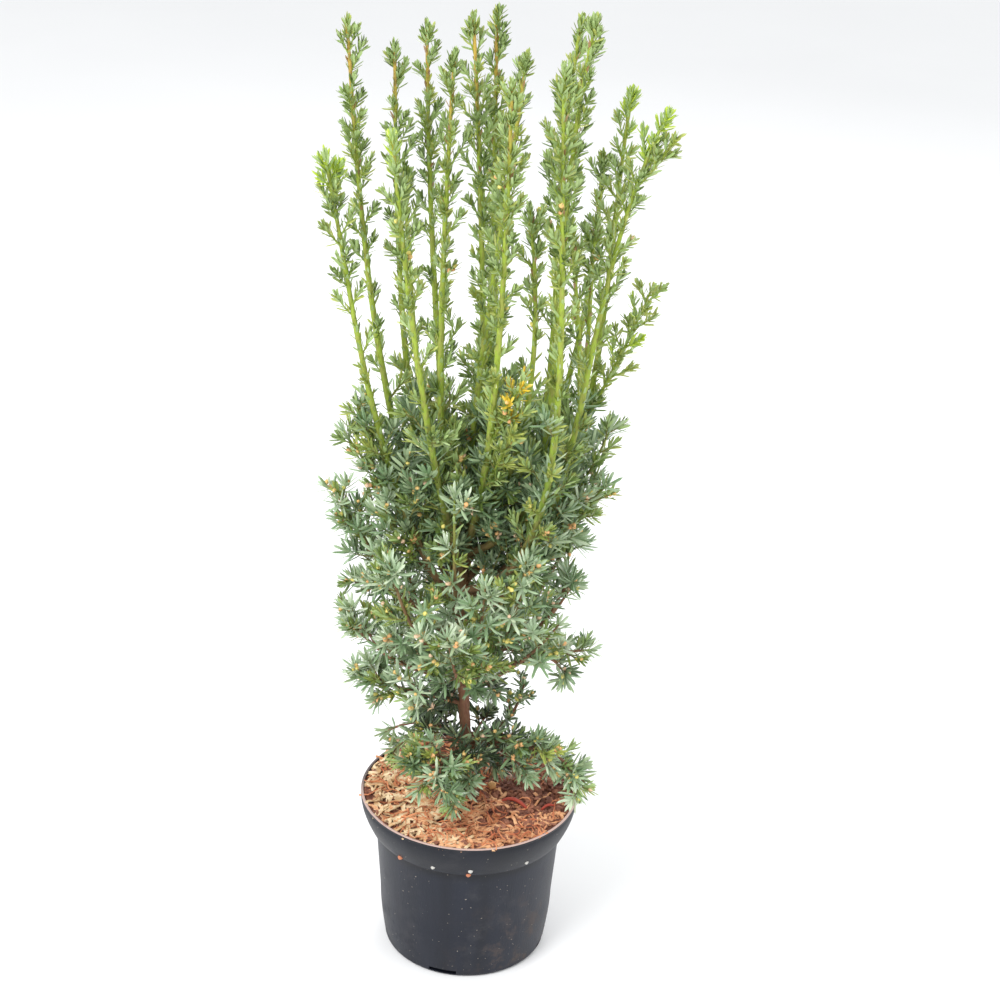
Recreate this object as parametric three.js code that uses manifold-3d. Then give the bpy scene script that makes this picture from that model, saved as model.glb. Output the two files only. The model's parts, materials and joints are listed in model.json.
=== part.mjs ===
// A slender yew in a plastic nursery pot: pot, soil, one trunk, boughs that sweep out and
// then up, and masses of needle sprays round each leading shoot. Millimetres, +Z up, with
// the origin at the centre of the pot's flat underside. The front of the plant faces -Y.
import * as THREE from 'three';
import { mergeVertices } from 'three/addons/utils/BufferGeometryUtils.js';
import Module from 'manifold-3d';

const wasm = await Module();
wasm.setup();

// Driving dimensions of the pot
const POT_HEIGHT = 182;
const RIM_RADIUS = 115;
const LIP_HEIGHT = 3;
const LIP_THICKNESS = 3;
const COLLAR_HEIGHT = 39;
const COLLAR_FOOT_RADIUS = 104;
const BODY_TOP_RADIUS = 98.5;
const BODY_MIDDLE_RADIUS = 92.5;
const BODY_MIDDLE_HEIGHT = 62;
const BODY_LOW_RADIUS = 87;
const FOOT_RADIUS = 82.5;
const FOOT_ROUNDING = 6;
const WALL = 2;
const FLOOR = 2.5;
const POT_SIDES = 28;
const SLOT_WIDTH = 30;
const SLOT_HEIGHT = 5;
const SLOT_COUNT = 4;
const SLOT_DEPTH = 40;
const SLOT_BEARING = -104;
const COLLAR_BENDS = [10, 22, 33];

// Driving dimensions of the soil and of the gap that neighbours keep
const GAP = 0.3;
const SOIL_EDGE_HEIGHT = POT_HEIGHT - COLLAR_HEIGHT + COLLAR_BENDS[2];
const SOIL_CENTRE_HEIGHT = 178;
const SOIL_BUMP = 1.8;
const SOIL_RINGS = [0.84, 0.66, 0.48, 0.3];
const SOIL_FLAT_RADIUS = 14;

// Driving dimensions of the trunk, which leans a little to the left before its tip
const TRUNK_FOOT = [0, 0, SOIL_CENTRE_HEIGHT + GAP];
const TRUNK_BEND = [-20, 8, 385];
const TRUNK_TIP = [-10, 8, 523];
const FLARE_RADIUS = 10.5;
const FLARE_LENGTH = 22;
const TRUNK_FOOT_RADIUS = 6.6;
const TRUNK_TIP_RADIUS = 3.3;
const TRUNK_SIDES = 8;
const TRUNK_RINGS = 11;

// Driving dimensions of boughs, stems and twigs
const BOUGH_SIDES = 5;
const BOUGH_RINGS = 3;
const BOUGH_FOOT_RADIUS = 3.9;
const BOUGH_END_RADIUS = 3.9;
const SPRAY_FOOT_RADIUS = 3.0;
const STEM_TIP_RADIUS = 1.7;
const TWIG_SHORTEST = 15;
const TWIG_RISE = 0.25;
const SHOOT_TWIGS = 3;
const SPRAY_TWIGS = 5;

// Driving dimensions of the needles, larger than life: spikes that stand in threes round a
// stem, and flat sprays whose teeth are needles in two ranks
const NEEDLE_LENGTH = 32;
const NEEDLE_ROOT_HEIGHT = 8;
const NEEDLE_SPACING = 37;
const TOOTH_SPACING = 19;
const TOOTH_REACH = 21;
const TOOTH_NOTCH = 3.2;
const SPRAY_THICKNESS = 2.6;
const SPRAY_SPAN = [0.12, 0.86];
const SPRAY_POINT = 4;
const OWN_SPACE_MARGIN = 2.5;
const SHOOT_SPARE = 16;
const SPRAY_SPARE = 5;
const REACH_WINDOW = 50;
const GOLDEN_TURN = THREE.MathUtils.degToRad(137.508);

// Each leading shoot: where it leaves the trunk, the knee where it turns up, its tip, how far
// its upper part bows outwards, the bare share of it, and the length of its lowest twigs
const SHOOTS = {
  left_outer: { rise: 382, knee: [-105, -32, 542], tip: [-151, -30, 877], bow: -8, bare: 0.15, spread: 52 },
  left_tall: { rise: 399, knee: [-102, 30, 540], tip: [-136, 20, 990], bow: 2, bare: 0.13, spread: 50 },
  left_front: { rise: 430, knee: [-40, -68, 547], tip: [-87, -80, 911], bow: 10, bare: 0.13, spread: 46 },
  left_back: { rise: 416, knee: [-78, 60, 500], tip: [-94, 55, 960], bow: 5, bare: 0.13, spread: 46 },
  mid_left_back: { rise: 456, knee: [-32, 62, 467], tip: [-66, 92, 972], bow: 20, bare: 0.12, spread: 46 },
  mid_left: { rise: 480, knee: [-47, -20, 485], tip: [-36, -20, 973], bow: 5, bare: 0, spread: 40 },
  centre_left: { rise: 508, knee: [10, 20, 522], tip: [-21, 40, 993], bow: -8, bare: 0, spread: 34 },
  centre_back: { rise: 474, knee: [10, 62, 485], tip: [0, 70, 991], bow: -2, bare: 0, spread: 40 },
  centre_front: { rise: 467, knee: [10, -70, 540], tip: [17, -100, 968], bow: 20, bare: 0.13, spread: 44 },
  centre_right: { rise: 491, knee: [32, -35, 520], tip: [37, -55, 843], bow: 48, bare: 0, spread: 36 },
  right_tall_back: { rise: 447, knee: [110, 67, 527], tip: [79, 50, 993],
    bow: -55, bare: 0.12, spread: 44 },
  right_tall_front: { rise: 458, knee: [110, -45, 510], tip: [90, -20, 1009],
    bow: -58, bare: 0.12, spread: 44 },
  right_short: { rise: 416, knee: [105, -108, 487], tip: [62, -90, 982], bow: -28, bare: 0.13, spread: 44 },
  right_inner: { rise: 405, knee: [135, 0, 520], tip: [78, 8, 806], bow: -15, bare: 0.14, spread: 42 },
  right_bushy: { rise: 381, knee: [135, 88, 527], tip: [105, 80, 791], bow: -32, bare: 0.15, spread: 46 },
  right_upper: { rise: 393, knee: [135, 32, 502], tip: [128, 30, 930], bow: -25, bare: 0.14, spread: 48 },
  right_outer: { rise: 369, knee: [125, -58, 520], tip: [157, -40, 930], bow: -70, bare: 0.15, spread: 48 },
  back_left: { rise: 366, knee: [-58, 105, 460], tip: [-87, 122, 826], bow: 5, bare: 0.14, spread: 48 },
  back_middle: { rise: 437, knee: [12, 135, 480], tip: [6, 135, 877], bow: 0, bare: 0.13, spread: 48 },
  back_right: { rise: 424, knee: [72, 95, 485], tip: [108, 120, 845], bow: 28, bare: 0.14, spread: 48 },
};

// The leader carries the trunk on, and ends a little forward of it
const LEADER = { knee: [-14, 0, 600], tip: [29, -50, 979], bow: 5, bare: 0, spread: 34 };

// Each lower spray, which spreads flat from the trunk and lifts at its tip
const SPRAYS = {
  left_middle: { rise: 352, knee: [-80, 10, 400], tip: [-134, 10, 498], bare: 0, spread: 72 },
  left_low: { rise: 316, knee: [-75, -20, 328], tip: [-126, -25, 392], bare: 0, spread: 68 },
  left_lowest: { rise: 284, knee: [-70, 15, 290], tip: [-115, 12, 306], bare: 0, spread: 58 },
  front_high: { rise: 362, knee: [-20, -80, 420], tip: [-23, -75, 562], bare: 0, spread: 52 },
  front_left: { rise: 326, knee: [-60, -60, 380], tip: [-84, -90, 494], bare: 0, spread: 64 },
  front_right: { rise: 338, knee: [40, -70, 390], tip: [48, -97, 505], bare: 0, spread: 60 },
  front_middle: { rise: 324, knee: [5, -75, 374], tip: [10, -104, 480], bare: 0, spread: 56 },
  front_low: { rise: 308, knee: [-15, -70, 346], tip: [-25, -115, 428], bare: 0, spread: 60 },
  right_middle: { rise: 330, knee: [65, 0, 362], tip: [101, 5, 434], bare: 0, spread: 68 },
  right_front: { rise: 298, knee: [50, -44, 356], tip: [84, -66, 420], bare: 0, spread: 62 },
  right_arm: { rise: 308, knee: [62, -22, 362], tip: [121, -15, 364], bare: 0.35, spread: 54 },
  back_middle_low: { rise: 296, knee: [10, 75, 335], tip: [15, 115, 434], bare: 0, spread: 70 },
  back_left_low: { rise: 306, knee: [-80, 50, 345], tip: [-112, 60, 450], bare: 0, spread: 70 },
  back_right_low: { rise: 322, knee: [70, 50, 375], tip: [106, 60, 498], bare: 0, spread: 70 },
  base_left: { rise: 236, knee: [-45, 20, 262], tip: [-92, 25, 232], bare: 0, spread: 42 },
  base_front: { rise: 226, knee: [-25, -50, 255], tip: [-52, -82, 228], bare: 0, spread: 46 },
  base_right: { rise: 232, knee: [60, -25, 275], tip: [121, -27, 212], bare: 0.35, spread: 40 },
  inner_sprig: { rise: 246, knee: [40, 20, 240], tip: [54, 27, 296], bare: 0, spread: 30 },
};

const POT_COLOUR = 0x3c3e46;
const SOIL_COLOUR = 0x6b4a32;
const BARK_COLOUR = 0x6e5540;
const YOUNG_BARK_COLOUR = 0x7d8740;
const UPPER_GREEN = 0x6f9440;
const LOWER_GREEN = 0x4a6b4c;

const plant = new THREE.Group();

function vector(point) {
  return new THREE.Vector3(...point);
}

function mix(from, to, share) {
  return from + (to - from) * share;
}

// Seeded dice, the same numbers on every run
function seededDice(seed) {
  let state = seed;
  return () => {
    state = (state * 1664525 + 1013904223) % 4294967296;
    return state / 4294967296;
  };
}

function solidOf(geometry) {
  geometry.deleteAttribute('normal');
  geometry.deleteAttribute('uv');
  const merged = mergeVertices(geometry);
  const corners = merged.index.array;
  const triVerts = [];
  for (let i = 0; i < corners.length; i += 3) {
    const [a, b, c] = [corners[i], corners[i + 1], corners[i + 2]];
    if (a !== b && b !== c && c !== a) triVerts.push(a, b, c);
  }
  const vertProperties = new Float32Array(merged.attributes.position.array);
  const mesh = new wasm.Mesh({ numProp: 3, vertProperties, triVerts: new Uint32Array(triVerts) });
  return new wasm.Manifold(mesh);
}

function geometryOf(solid) {
  const mesh = solid.getMesh();
  const geometry = new THREE.BufferGeometry();
  geometry.setAttribute('position', new THREE.BufferAttribute(mesh.vertProperties, 3));
  geometry.setIndex(new THREE.BufferAttribute(mesh.triVerts, 1));
  geometry.computeVertexNormals();
  return geometry;
}

function addNode(name, solid, colour, roughness) {
  const material = new THREE.MeshStandardMaterial({ color: colour, roughness, metalness: 0 });
  const mesh = new THREE.Mesh(geometryOf(solid), material);
  mesh.name = name;
  plant.add(mesh);
}

// Pot: the outer radius of its wall at a height, below the collar
function bodyRadius(height) {
  const middle = BODY_MIDDLE_HEIGHT;
  const top = POT_HEIGHT - COLLAR_HEIGHT;
  if (height < middle) {
    const share = (height - FOOT_ROUNDING) / (middle - FOOT_ROUNDING);
    return mix(BODY_LOW_RADIUS, BODY_MIDDLE_RADIUS, Math.sin(share * Math.PI / 2));
  }
  return mix(BODY_MIDDLE_RADIUS, BODY_TOP_RADIUS, (height - middle) / (top - middle));
}

// The collar bulges: steep under the lip, and curving in towards its foot
function collarRadius(height) {
  const share = (height - POT_HEIGHT + COLLAR_HEIGHT) / (COLLAR_HEIGHT - LIP_HEIGHT);
  return mix(COLLAR_FOOT_RADIUS, RIM_RADIUS, Math.sin(share * Math.PI / 2));
}

// Outline of the pot's wall from the foot up at some heights, moved inwards by inset
function wallProfile(inset, heights, highest) {
  const collarFoot = POT_HEIGHT - COLLAR_HEIGHT;
  const body = [...heights, collarFoot - inset];
  const points = body.map((height) => new THREE.Vector2(bodyRadius(height) - inset, height));
  const bends = COLLAR_BENDS.map((rise) => collarFoot + rise).filter((height) => height < highest);
  for (const height of [collarFoot, ...bends, highest]) {
    points.push(new THREE.Vector2(collarRadius(height) - inset, height));
  }
  return points;
}

function lathe(profile, sides) {
  const shape = new THREE.LatheGeometry(profile, sides);
  shape.rotateX(Math.PI / 2);
  return shape;
}

function makePot() {
  const lipFoot = POT_HEIGHT - LIP_HEIGHT;
  const foot = [new THREE.Vector2(0, 0), new THREE.Vector2(FOOT_RADIUS, 0)];
  foot.push(new THREE.Vector2(mix(FOOT_RADIUS, BODY_LOW_RADIUS, 0.7), FOOT_ROUNDING * 0.3));
  const heights = [FOOT_ROUNDING, BODY_MIDDLE_HEIGHT / 2, BODY_MIDDLE_HEIGHT];
  const outside = wallProfile(0, heights, lipFoot);
  const lip = [new THREE.Vector2(RIM_RADIUS, POT_HEIGHT)];
  lip.push(new THREE.Vector2(RIM_RADIUS - LIP_THICKNESS, POT_HEIGHT));
  const inside = wallProfile(WALL, heights, lipFoot).reverse();
  const floor = [new THREE.Vector2(FOOT_RADIUS - WALL, FLOOR), new THREE.Vector2(0, FLOOR)];
  let pot = solidOf(lathe([...foot, ...outside, ...lip, ...inside, ...floor], POT_SIDES));
  for (let i = 0; i < SLOT_COUNT; i++) {
    const slot = new THREE.BoxGeometry(SLOT_DEPTH, SLOT_WIDTH, SLOT_HEIGHT);
    slot.translate(BODY_LOW_RADIUS, 0, FLOOR + SLOT_HEIGHT / 2);
    slot.rotateZ(THREE.MathUtils.degToRad(SLOT_BEARING) + i * 2 * Math.PI / SLOT_COUNT);
    pot = pot.subtract(solidOf(slot));
  }
  addNode('pot', pot, POT_COLOUR, 0.55);
}

// Soil: a plug that fills the pot, domed and lumpy on top, flat under the trunk
function makeSoil() {
  const inset = WALL + GAP;
  const side = wallProfile(inset, [FOOT_ROUNDING, BODY_MIDDLE_HEIGHT], SOIL_EDGE_HEIGHT);
  const bottom = [new THREE.Vector2(0, FLOOR + GAP), new THREE.Vector2(FOOT_RADIUS - inset, FLOOR + GAP)];
  const edge = side[side.length - 1].x;
  const top = [];
  for (const share of SOIL_RINGS) {
    const height = mix(SOIL_CENTRE_HEIGHT, SOIL_EDGE_HEIGHT, share * share);
    top.push(new THREE.Vector2(edge * share, height));
  }
  top.push(new THREE.Vector2(SOIL_FLAT_RADIUS, SOIL_CENTRE_HEIGHT));
  top.push(new THREE.Vector2(0, SOIL_CENTRE_HEIGHT));
  const shape = lathe([...bottom, ...side, ...top], POT_SIDES);
  const place = shape.attributes.position;
  for (let i = 0; i < place.count; i++) {
    const [x, y, z] = [place.getX(i), place.getY(i), place.getZ(i)];
    const radius = Math.hypot(x, y);
    const inTop = z > SOIL_EDGE_HEIGHT + 0.01 && radius > SOIL_FLAT_RADIUS + 0.01;
    const lump = Math.sin(x * 0.11 + 0.7) * Math.cos(y * 0.13 + 1.1) + 0.6 * Math.sin(x * 0.23 - y * 0.19);
    if (inTop) place.setZ(i, z + SOIL_BUMP * lump);
  }
  addNode('soil', solidOf(shape), SOIL_COLOUR, 0.95);
}

// A limb's course: a curve from its foot to its tip, with a level direction across it
function courseOf(foot, spec) {
  const knee = vector(spec.knee);
  const tip = vector(spec.tip);
  const out = new THREE.Vector3(tip.x - foot.x, tip.y - foot.y, 0).normalize();
  const shoulder = knee.clone().add(tip).multiplyScalar(0.5).addScaledVector(out, spec.bow ?? 0);
  const curve = new THREE.CubicBezierCurve3(foot, knee, shoulder, tip);
  return { curve, level: new THREE.Vector3(-out.y, out.x, 0), length: curve.getLength() };
}

function frameAt(course, share) {
  const point = course.curve.getPointAt(share);
  const along = course.curve.getTangentAt(share);
  const across = course.level.clone().addScaledVector(along, -course.level.dot(along)).normalize();
  const lift = new THREE.Vector3().crossVectors(along, across);
  return { point, along, across, lift };
}

// A tapering limb: a lathed shape bent along its course between two shares of it
function limbSolid(course, from, to, radiusAt, sides, rings, grow = 0) {
  const profile = [new THREE.Vector2(0, from)];
  for (let i = 0; i <= rings; i++) {
    const share = mix(from, to, i / rings);
    profile.push(new THREE.Vector2(radiusAt(share) + grow, share));
  }
  profile.push(new THREE.Vector2(0, to));
  const shape = new THREE.LatheGeometry(profile, sides);
  const place = shape.attributes.position;
  for (let i = 0; i < place.count; i++) {
    const frame = frameAt(course, THREE.MathUtils.clamp(place.getY(i), 0, 1));
    frame.point.addScaledVector(frame.across, place.getZ(i)).addScaledVector(frame.lift, place.getX(i));
    place.setXYZ(i, frame.point.x, frame.point.y, frame.point.z);
  }
  return solidOf(shape);
}

const trunkCurve = new THREE.QuadraticBezierCurve3(vector(TRUNK_FOOT), vector(TRUNK_BEND), vector(TRUNK_TIP));
const trunkCourse = { curve: trunkCurve, level: new THREE.Vector3(0, 1, 0), length: trunkCurve.getLength() };

function trunkRadius(share) {
  const flare = Math.max(0, 1 - share * trunkCourse.length / FLARE_LENGTH);
  return mix(TRUNK_FOOT_RADIUS, TRUNK_TIP_RADIUS, share) + (FLARE_RADIUS - TRUNK_FOOT_RADIUS) * flare * flare;
}

// The foot is cut flat and level, where the bent shape would tilt
function makeTrunk(grow) {
  const trunk = limbSolid(trunkCourse, 0, 1, trunkRadius, TRUNK_SIDES, TRUNK_RINGS, grow);
  const below = new THREE.BoxGeometry(80, 80, 40);
  below.translate(0, 0, TRUNK_FOOT[2] - 20);
  return trunk.subtract(solidOf(below));
}

function trunkPointAt(height) {
  let [low, high] = [0, 1];
  for (let i = 0; i < 30; i++) {
    const middle = (low + high) / 2;
    if (trunkCurve.getPointAt(middle).z < height) low = middle;
    else high = middle;
  }
  return trunkCurve.getPointAt(low);
}

// Every limb that carries leaves, with its course and a line of points along it
function planLimb(name, spec, foot, flat) {
  const course = courseOf(foot, spec);
  const marks = [];
  for (let i = 0; i <= 60; i++) marks.push(course.curve.getPointAt(i / 60));
  return { name, ...spec, course, marks, flat };
}

const limbs = [planLimb('leader', LEADER, vector(TRUNK_TIP), false)];
for (const [table, flat] of [[SHOOTS, false], [SPRAYS, true]]) {
  for (const [name, spec] of Object.entries(table)) {
    limbs.push(planLimb(name, spec, trunkPointAt(spec.rise), flat));
  }
}
const trunkMarks = trunkCurve.getSpacedPoints(40);

function nearest(point, marks) {
  return Math.sqrt(Math.min(...marks.map((mark) => mark.distanceToSquared(point))));
}

// True where a point lies hardly farther out than the limb does at about its height
function withinReach(point, limb) {
  const near = limb.marks.filter((mark) => Math.abs(mark.z - point.z) < REACH_WINDOW);
  const farthest = Math.max(...near.map((mark) => Math.hypot(mark.x, mark.y)));
  return Math.hypot(point.x, point.y) < farthest + (limb.flat ? SPRAY_SPARE : SHOOT_SPARE);
}

// True where every point is within reach, nearer this limb than any other and clear of bare wood
function inOwnSpace(points, limb) {
  return points.every((point) => {
    if (!withinReach(point, limb)) return false;
    const own = nearest(point, limb.marks) + OWN_SPACE_MARGIN;
    const nearTrunk = nearest(point, trunkMarks) < 2 * TRUNK_FOOT_RADIUS;
    return !nearTrunk && limbs.every((other) => other === limb || nearest(point, other.marks) > own);
  });
}

// A stem or twig with its needles: a three-sided tube bent along its course. Short rings
// of it bear three needles each, every ring turned by half a side against the last, and
// each needle is a slender spike drawn out of a face. The end runs out in a point.
function needledLimb(course, span, radiusAt, allowed) {
  const corners = [];
  const faces = [];
  const addRing = (share, turn) => {
    const frame = frameAt(course, share);
    for (let side = 0; side < 3; side++) {
      const angle = turn + side * 2 * Math.PI / 3;
      const radius = radiusAt(share);
      const corner = frame.point.clone().addScaledVector(frame.across, radius * Math.cos(angle));
      corners.push(corner.addScaledVector(frame.lift, radius * Math.sin(angle)));
    }
    return corners.length - 3;
  };
  const addNeedle = (share, turn, quad) => {
    const frame = frameAt(course, share);
    const root = frame.point.clone().addScaledVector(frame.along, -NEEDLE_ROOT_HEIGHT / 2);
    const along = leaving(frame, turn, mix(1.0, 0.5, share));
    for (const part of [1, 0.75, 0.5]) {
      const tip = root.clone().addScaledVector(along, NEEDLE_LENGTH * part);
      if (allowed([tip, root.clone().lerp(tip, 0.6)])) {
        corners.push(tip);
        const apex = corners.length - 1;
        for (let i = 0; i < 4; i++) faces.push([quad[i], quad[(i + 1) % 4], apex]);
        return;
      }
    }
    faces.push([quad[0], quad[1], quad[2]], [quad[0], quad[2], quad[3]]);
  };
  const half = NEEDLE_ROOT_HEIGHT / 2 / course.length;
  const count = Math.round((span[1] - span[0]) * course.length / NEEDLE_SPACING);
  let below = addRing(span[0], 0);
  faces.push([below, below + 2, below + 1]);
  for (let i = 0; i < count; i++) {
    const share = mix(span[0], span[1], (i + 0.6) / count);
    const turn = i * Math.PI / 3;
    const low = addRing(share - half, turn);
    const high = addRing(share + half, turn);
    for (let side = 0; side < 3; side++) {
      const next = (side + 1) % 3;
      faces.push([below + side, below + next, low + side], [below + next, low + next, low + side]);
      const quad = [low + side, low + next, high + next, high + side];
      addNeedle(share, turn + (side + 0.5) * 2 * Math.PI / 3, quad);
    }
    below = high;
  }
  const end = frameAt(course, span[1]);
  corners.push(end.point.clone().addScaledVector(end.along, NEEDLE_LENGTH * 0.45));
  const apex = corners.length - 1;
  for (let side = 0; side < 3; side++) faces.push([below + side, below + (side + 1) % 3, apex]);
  return closedSolid(corners, faces);
}

function beside(frame, distance) {
  return frame.point.clone().addScaledVector(frame.across, distance);
}

// A side twig with its needles as one flat spray: a blade that follows the twig, thickest
// along its middle, with a slanted tooth for each needle and a point at its end
function needledSpray(course, teeth, allowed) {
  const corners = [frameAt(course, 0).point];
  const faces = [];
  const addFace = (a, b, c, hand) => faces.push(hand > 0 ? [a, b, c] : [a, c, b]);
  const widest = Math.min(TOOTH_REACH, course.length * 0.45);
  const stations = [];
  for (let i = 0; i <= teeth; i++) {
    const frame = frameAt(course, mix(...SPRAY_SPAN, i / teeth));
    for (const hand of [1, -1]) corners.push(beside(frame, hand * TOOTH_NOTCH));
    for (const hand of [1, -1]) {
      corners.push(frame.point.clone().addScaledVector(frame.lift, hand * SPRAY_THICKNESS / 2));
    }
    const first = corners.length - 4;
    stations.push({ edge: [first, first + 1], ridge: [first + 2, first + 3] });
  }
  for (let i = 0; i < teeth; i++) {
    const frame = frameAt(course, mix(...SPRAY_SPAN, (i + 0.75) / teeth));
    const [low, high] = [stations[i], stations[i + 1]];
    for (const [index, hand] of [[0, 1], [1, -1]]) {
      const reaches = [1, 0.8, 0.6].map((part) => part * widest * mix(1, 0.75, i / teeth));
      const clear = reaches.find((reach) => allowed([beside(frame, hand * reach)]));
      const apex = corners.push(beside(frame, hand * (clear ?? TOOTH_NOTCH))) - 1;
      for (const [side, up] of [[0, 1], [1, -1]]) {
        addFace(low.ridge[side], high.ridge[side], apex, hand * up);
        addFace(high.ridge[side], high.edge[index], apex, hand * up);
        addFace(low.ridge[side], apex, low.edge[index], hand * up);
      }
    }
  }
  const end = frameAt(course, 1);
  const apex = corners.push(end.point.clone().addScaledVector(end.along, SPRAY_POINT)) - 1;
  const [first, last] = [stations[0], stations[teeth]];
  for (const [index, hand] of [[0, 1], [1, -1]]) {
    for (const [side, up] of [[0, 1], [1, -1]]) {
      addFace(last.ridge[side], apex, last.edge[index], hand * up);
      addFace(first.ridge[side], first.edge[index], 0, hand * up);
    }
  }
  return closedSolid(corners, faces);
}

function closedSolid(corners, faces) {
  const shape = new THREE.BufferGeometry().setFromPoints(corners);
  shape.setIndex(faces.flat());
  return solidOf(shape);
}

// A direction that leaves the stem at a pitch, turned round it by an angle
function leaving(frame, turn, pitch) {
  const out = beside(frame, Math.cos(turn)).sub(frame.point).addScaledVector(frame.lift, Math.sin(turn));
  return out.multiplyScalar(Math.sin(pitch)).addScaledVector(frame.along, Math.cos(pitch)).normalize();
}

// Twigs of a shoot go round it and shorten upwards, with a short one under its tip.
// Those of a flat spray leave it left and right in turn.
function twigPlan(limb, roll) {
  const plan = [];
  const count = limb.flat ? SPRAY_TWIGS : SHOOT_TWIGS;
  const start = limb.bare > 0 ? limb.bare : 0.16;
  for (let i = 0; i < count; i++) {
    const height = (i + 0.2 + 0.6 * roll()) / count;
    const share = mix(start, limb.flat ? 0.95 : 0.46, height);
    const turn = limb.flat ? i * Math.PI + 1.2 * (roll() - 0.5) : i * GOLDEN_TURN + roll() - 2;
    const length = limb.spread * mix(1, 0.65, height) * (0.8 + 0.3 * roll());
    plan.push({ share, turn, length, pitch: mix(1.05, 0.75, height) });
  }
  if (limb.flat) return plan;
  plan.push({ share: 0.92, turn: 2 * Math.PI * roll(), length: 20 + 6 * roll(), pitch: 0.55 });
  return plan;
}

// A twig's course leaves the stem at its pitch and curves up towards its tip
function twigCourse(frame, twig, length) {
  const along = leaving(frame, twig.turn, twig.pitch);
  const elbow = frame.point.clone().addScaledVector(along, length * 0.5);
  const tip = frame.point.clone().addScaledVector(along, length);
  tip.z += length * TWIG_RISE;
  const curve = new THREE.QuadraticBezierCurve3(frame.point, elbow, tip);
  const level = new THREE.Vector3(-along.y, along.x, 0.01).normalize();
  return { curve, level, length: curve.getLength() };
}

function stemFootRadius(limb) {
  if (limb.name === 'leader') return TRUNK_TIP_RADIUS;
  return limb.flat ? SPRAY_FOOT_RADIUS : BOUGH_END_RADIUS;
}

function growMass(limb, seed) {
  const roll = seededDice(seed);
  const course = limb.course;
  const standsOnEnd = limb.bare > 0 || limb.name === 'leader';
  const start = standsOnEnd ? limb.bare + GAP / course.length : 0;
  const foot = stemFootRadius(limb);
  const stemRadius = (share) => mix(foot, STEM_TIP_RADIUS, (share - start) / (1 - start));
  const allowed = (points) => inOwnSpace(points, limb);
  let mass = needledLimb(course, [start, 0.99], stemRadius, allowed);
  for (const twig of twigPlan(limb, roll)) {
    const frame = frameAt(course, twig.share);
    let length = twig.length;
    let side = twigCourse(frame, twig, length);
    const clear = () => allowed([0.5, 0.75, 1].map((share) => side.curve.getPoint(share)));
    while (length > TWIG_SHORTEST && !clear()) {
      length *= 0.8;
      side = twigCourse(frame, twig, length);
    }
    if (!clear()) continue;
    const teeth = Math.max(1, Math.round(length * 0.75 / TOOTH_SPACING));
    mass = mass.add(needledSpray(side, teeth, allowed));
  }
  return mass;
}

makePot();
makeSoil();
addNode('trunk', makeTrunk(0), BARK_COLOUR, 0.85);

// Cuts a limb clear of the trunk, and drops any loose scrap that the cut leaves
const trunkClearance = makeTrunk(GAP);
function clearOfTrunk(limb) {
  const pieces = limb.subtract(trunkClearance).decompose();
  return pieces.reduce((largest, piece) => (piece.volume() > largest.volume() ? piece : largest));
}

let seed = 11;
for (const limb of limbs) {
  if (limb.bare > 0) {
    const radiusAt = (share) => mix(BOUGH_FOOT_RADIUS, stemFootRadius(limb), share / limb.bare);
    const bough = limbSolid(limb.course, 0, limb.bare, radiusAt, BOUGH_SIDES, BOUGH_RINGS);
    addNode(`bough_${limb.name}`, clearOfTrunk(bough), YOUNG_BARK_COLOUR, 0.8);
  }
  const mass = growMass(limb, seed);
  const clear = limb.bare > 0 || limb.name === 'leader' ? mass : clearOfTrunk(mass);
  addNode(`foliage_${limb.name}`, clear, limb.flat ? LOWER_GREEN : UPPER_GREEN, 0.6);
  seed += 1;
}

export default plant;
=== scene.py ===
# A slender yew in a plastic nursery pot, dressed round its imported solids: bark, stems, twigs,
# needles and buds that grow by the solids' own rule, a moulded pot, and soil under mulch.
# Growth is worked out in millimetres in the solids' frame, and meshes are made in metres.
import json
import math
from collections import namedtuple
from types import SimpleNamespace

import bpy
import numpy as np
from mathutils import Matrix, Vector

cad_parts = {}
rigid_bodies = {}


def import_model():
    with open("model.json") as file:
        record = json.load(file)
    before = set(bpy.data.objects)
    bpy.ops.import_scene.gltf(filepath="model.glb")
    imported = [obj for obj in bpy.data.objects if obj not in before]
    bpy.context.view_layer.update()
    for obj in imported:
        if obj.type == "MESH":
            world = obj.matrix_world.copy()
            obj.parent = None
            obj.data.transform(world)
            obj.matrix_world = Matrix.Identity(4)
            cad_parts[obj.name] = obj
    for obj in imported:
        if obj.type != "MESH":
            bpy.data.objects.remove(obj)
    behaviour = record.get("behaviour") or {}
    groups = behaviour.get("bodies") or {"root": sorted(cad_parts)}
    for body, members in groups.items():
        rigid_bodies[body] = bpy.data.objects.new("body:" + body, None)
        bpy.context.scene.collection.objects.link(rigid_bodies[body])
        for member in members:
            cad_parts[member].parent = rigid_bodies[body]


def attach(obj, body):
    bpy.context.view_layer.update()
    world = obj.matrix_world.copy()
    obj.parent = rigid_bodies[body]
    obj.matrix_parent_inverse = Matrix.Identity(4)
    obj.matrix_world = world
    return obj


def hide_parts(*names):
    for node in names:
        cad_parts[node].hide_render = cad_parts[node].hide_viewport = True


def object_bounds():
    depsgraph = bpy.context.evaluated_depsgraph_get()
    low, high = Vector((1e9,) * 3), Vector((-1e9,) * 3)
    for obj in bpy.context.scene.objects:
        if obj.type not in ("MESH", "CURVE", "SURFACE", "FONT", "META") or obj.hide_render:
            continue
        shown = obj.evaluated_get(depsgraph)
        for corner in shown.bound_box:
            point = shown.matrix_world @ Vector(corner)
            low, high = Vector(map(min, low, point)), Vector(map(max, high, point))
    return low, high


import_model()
cad_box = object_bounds()

MM = 0.001

# The camera, as the photograph was taken
CAMERA_PLACE = (0.0207, -1.93, 1.437)
CAMERA_TILT = 64.64
CAMERA_ROLL = 2.27
CAMERA_LENS = 77.16
CAMERA_SENSOR = 36.0

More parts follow.
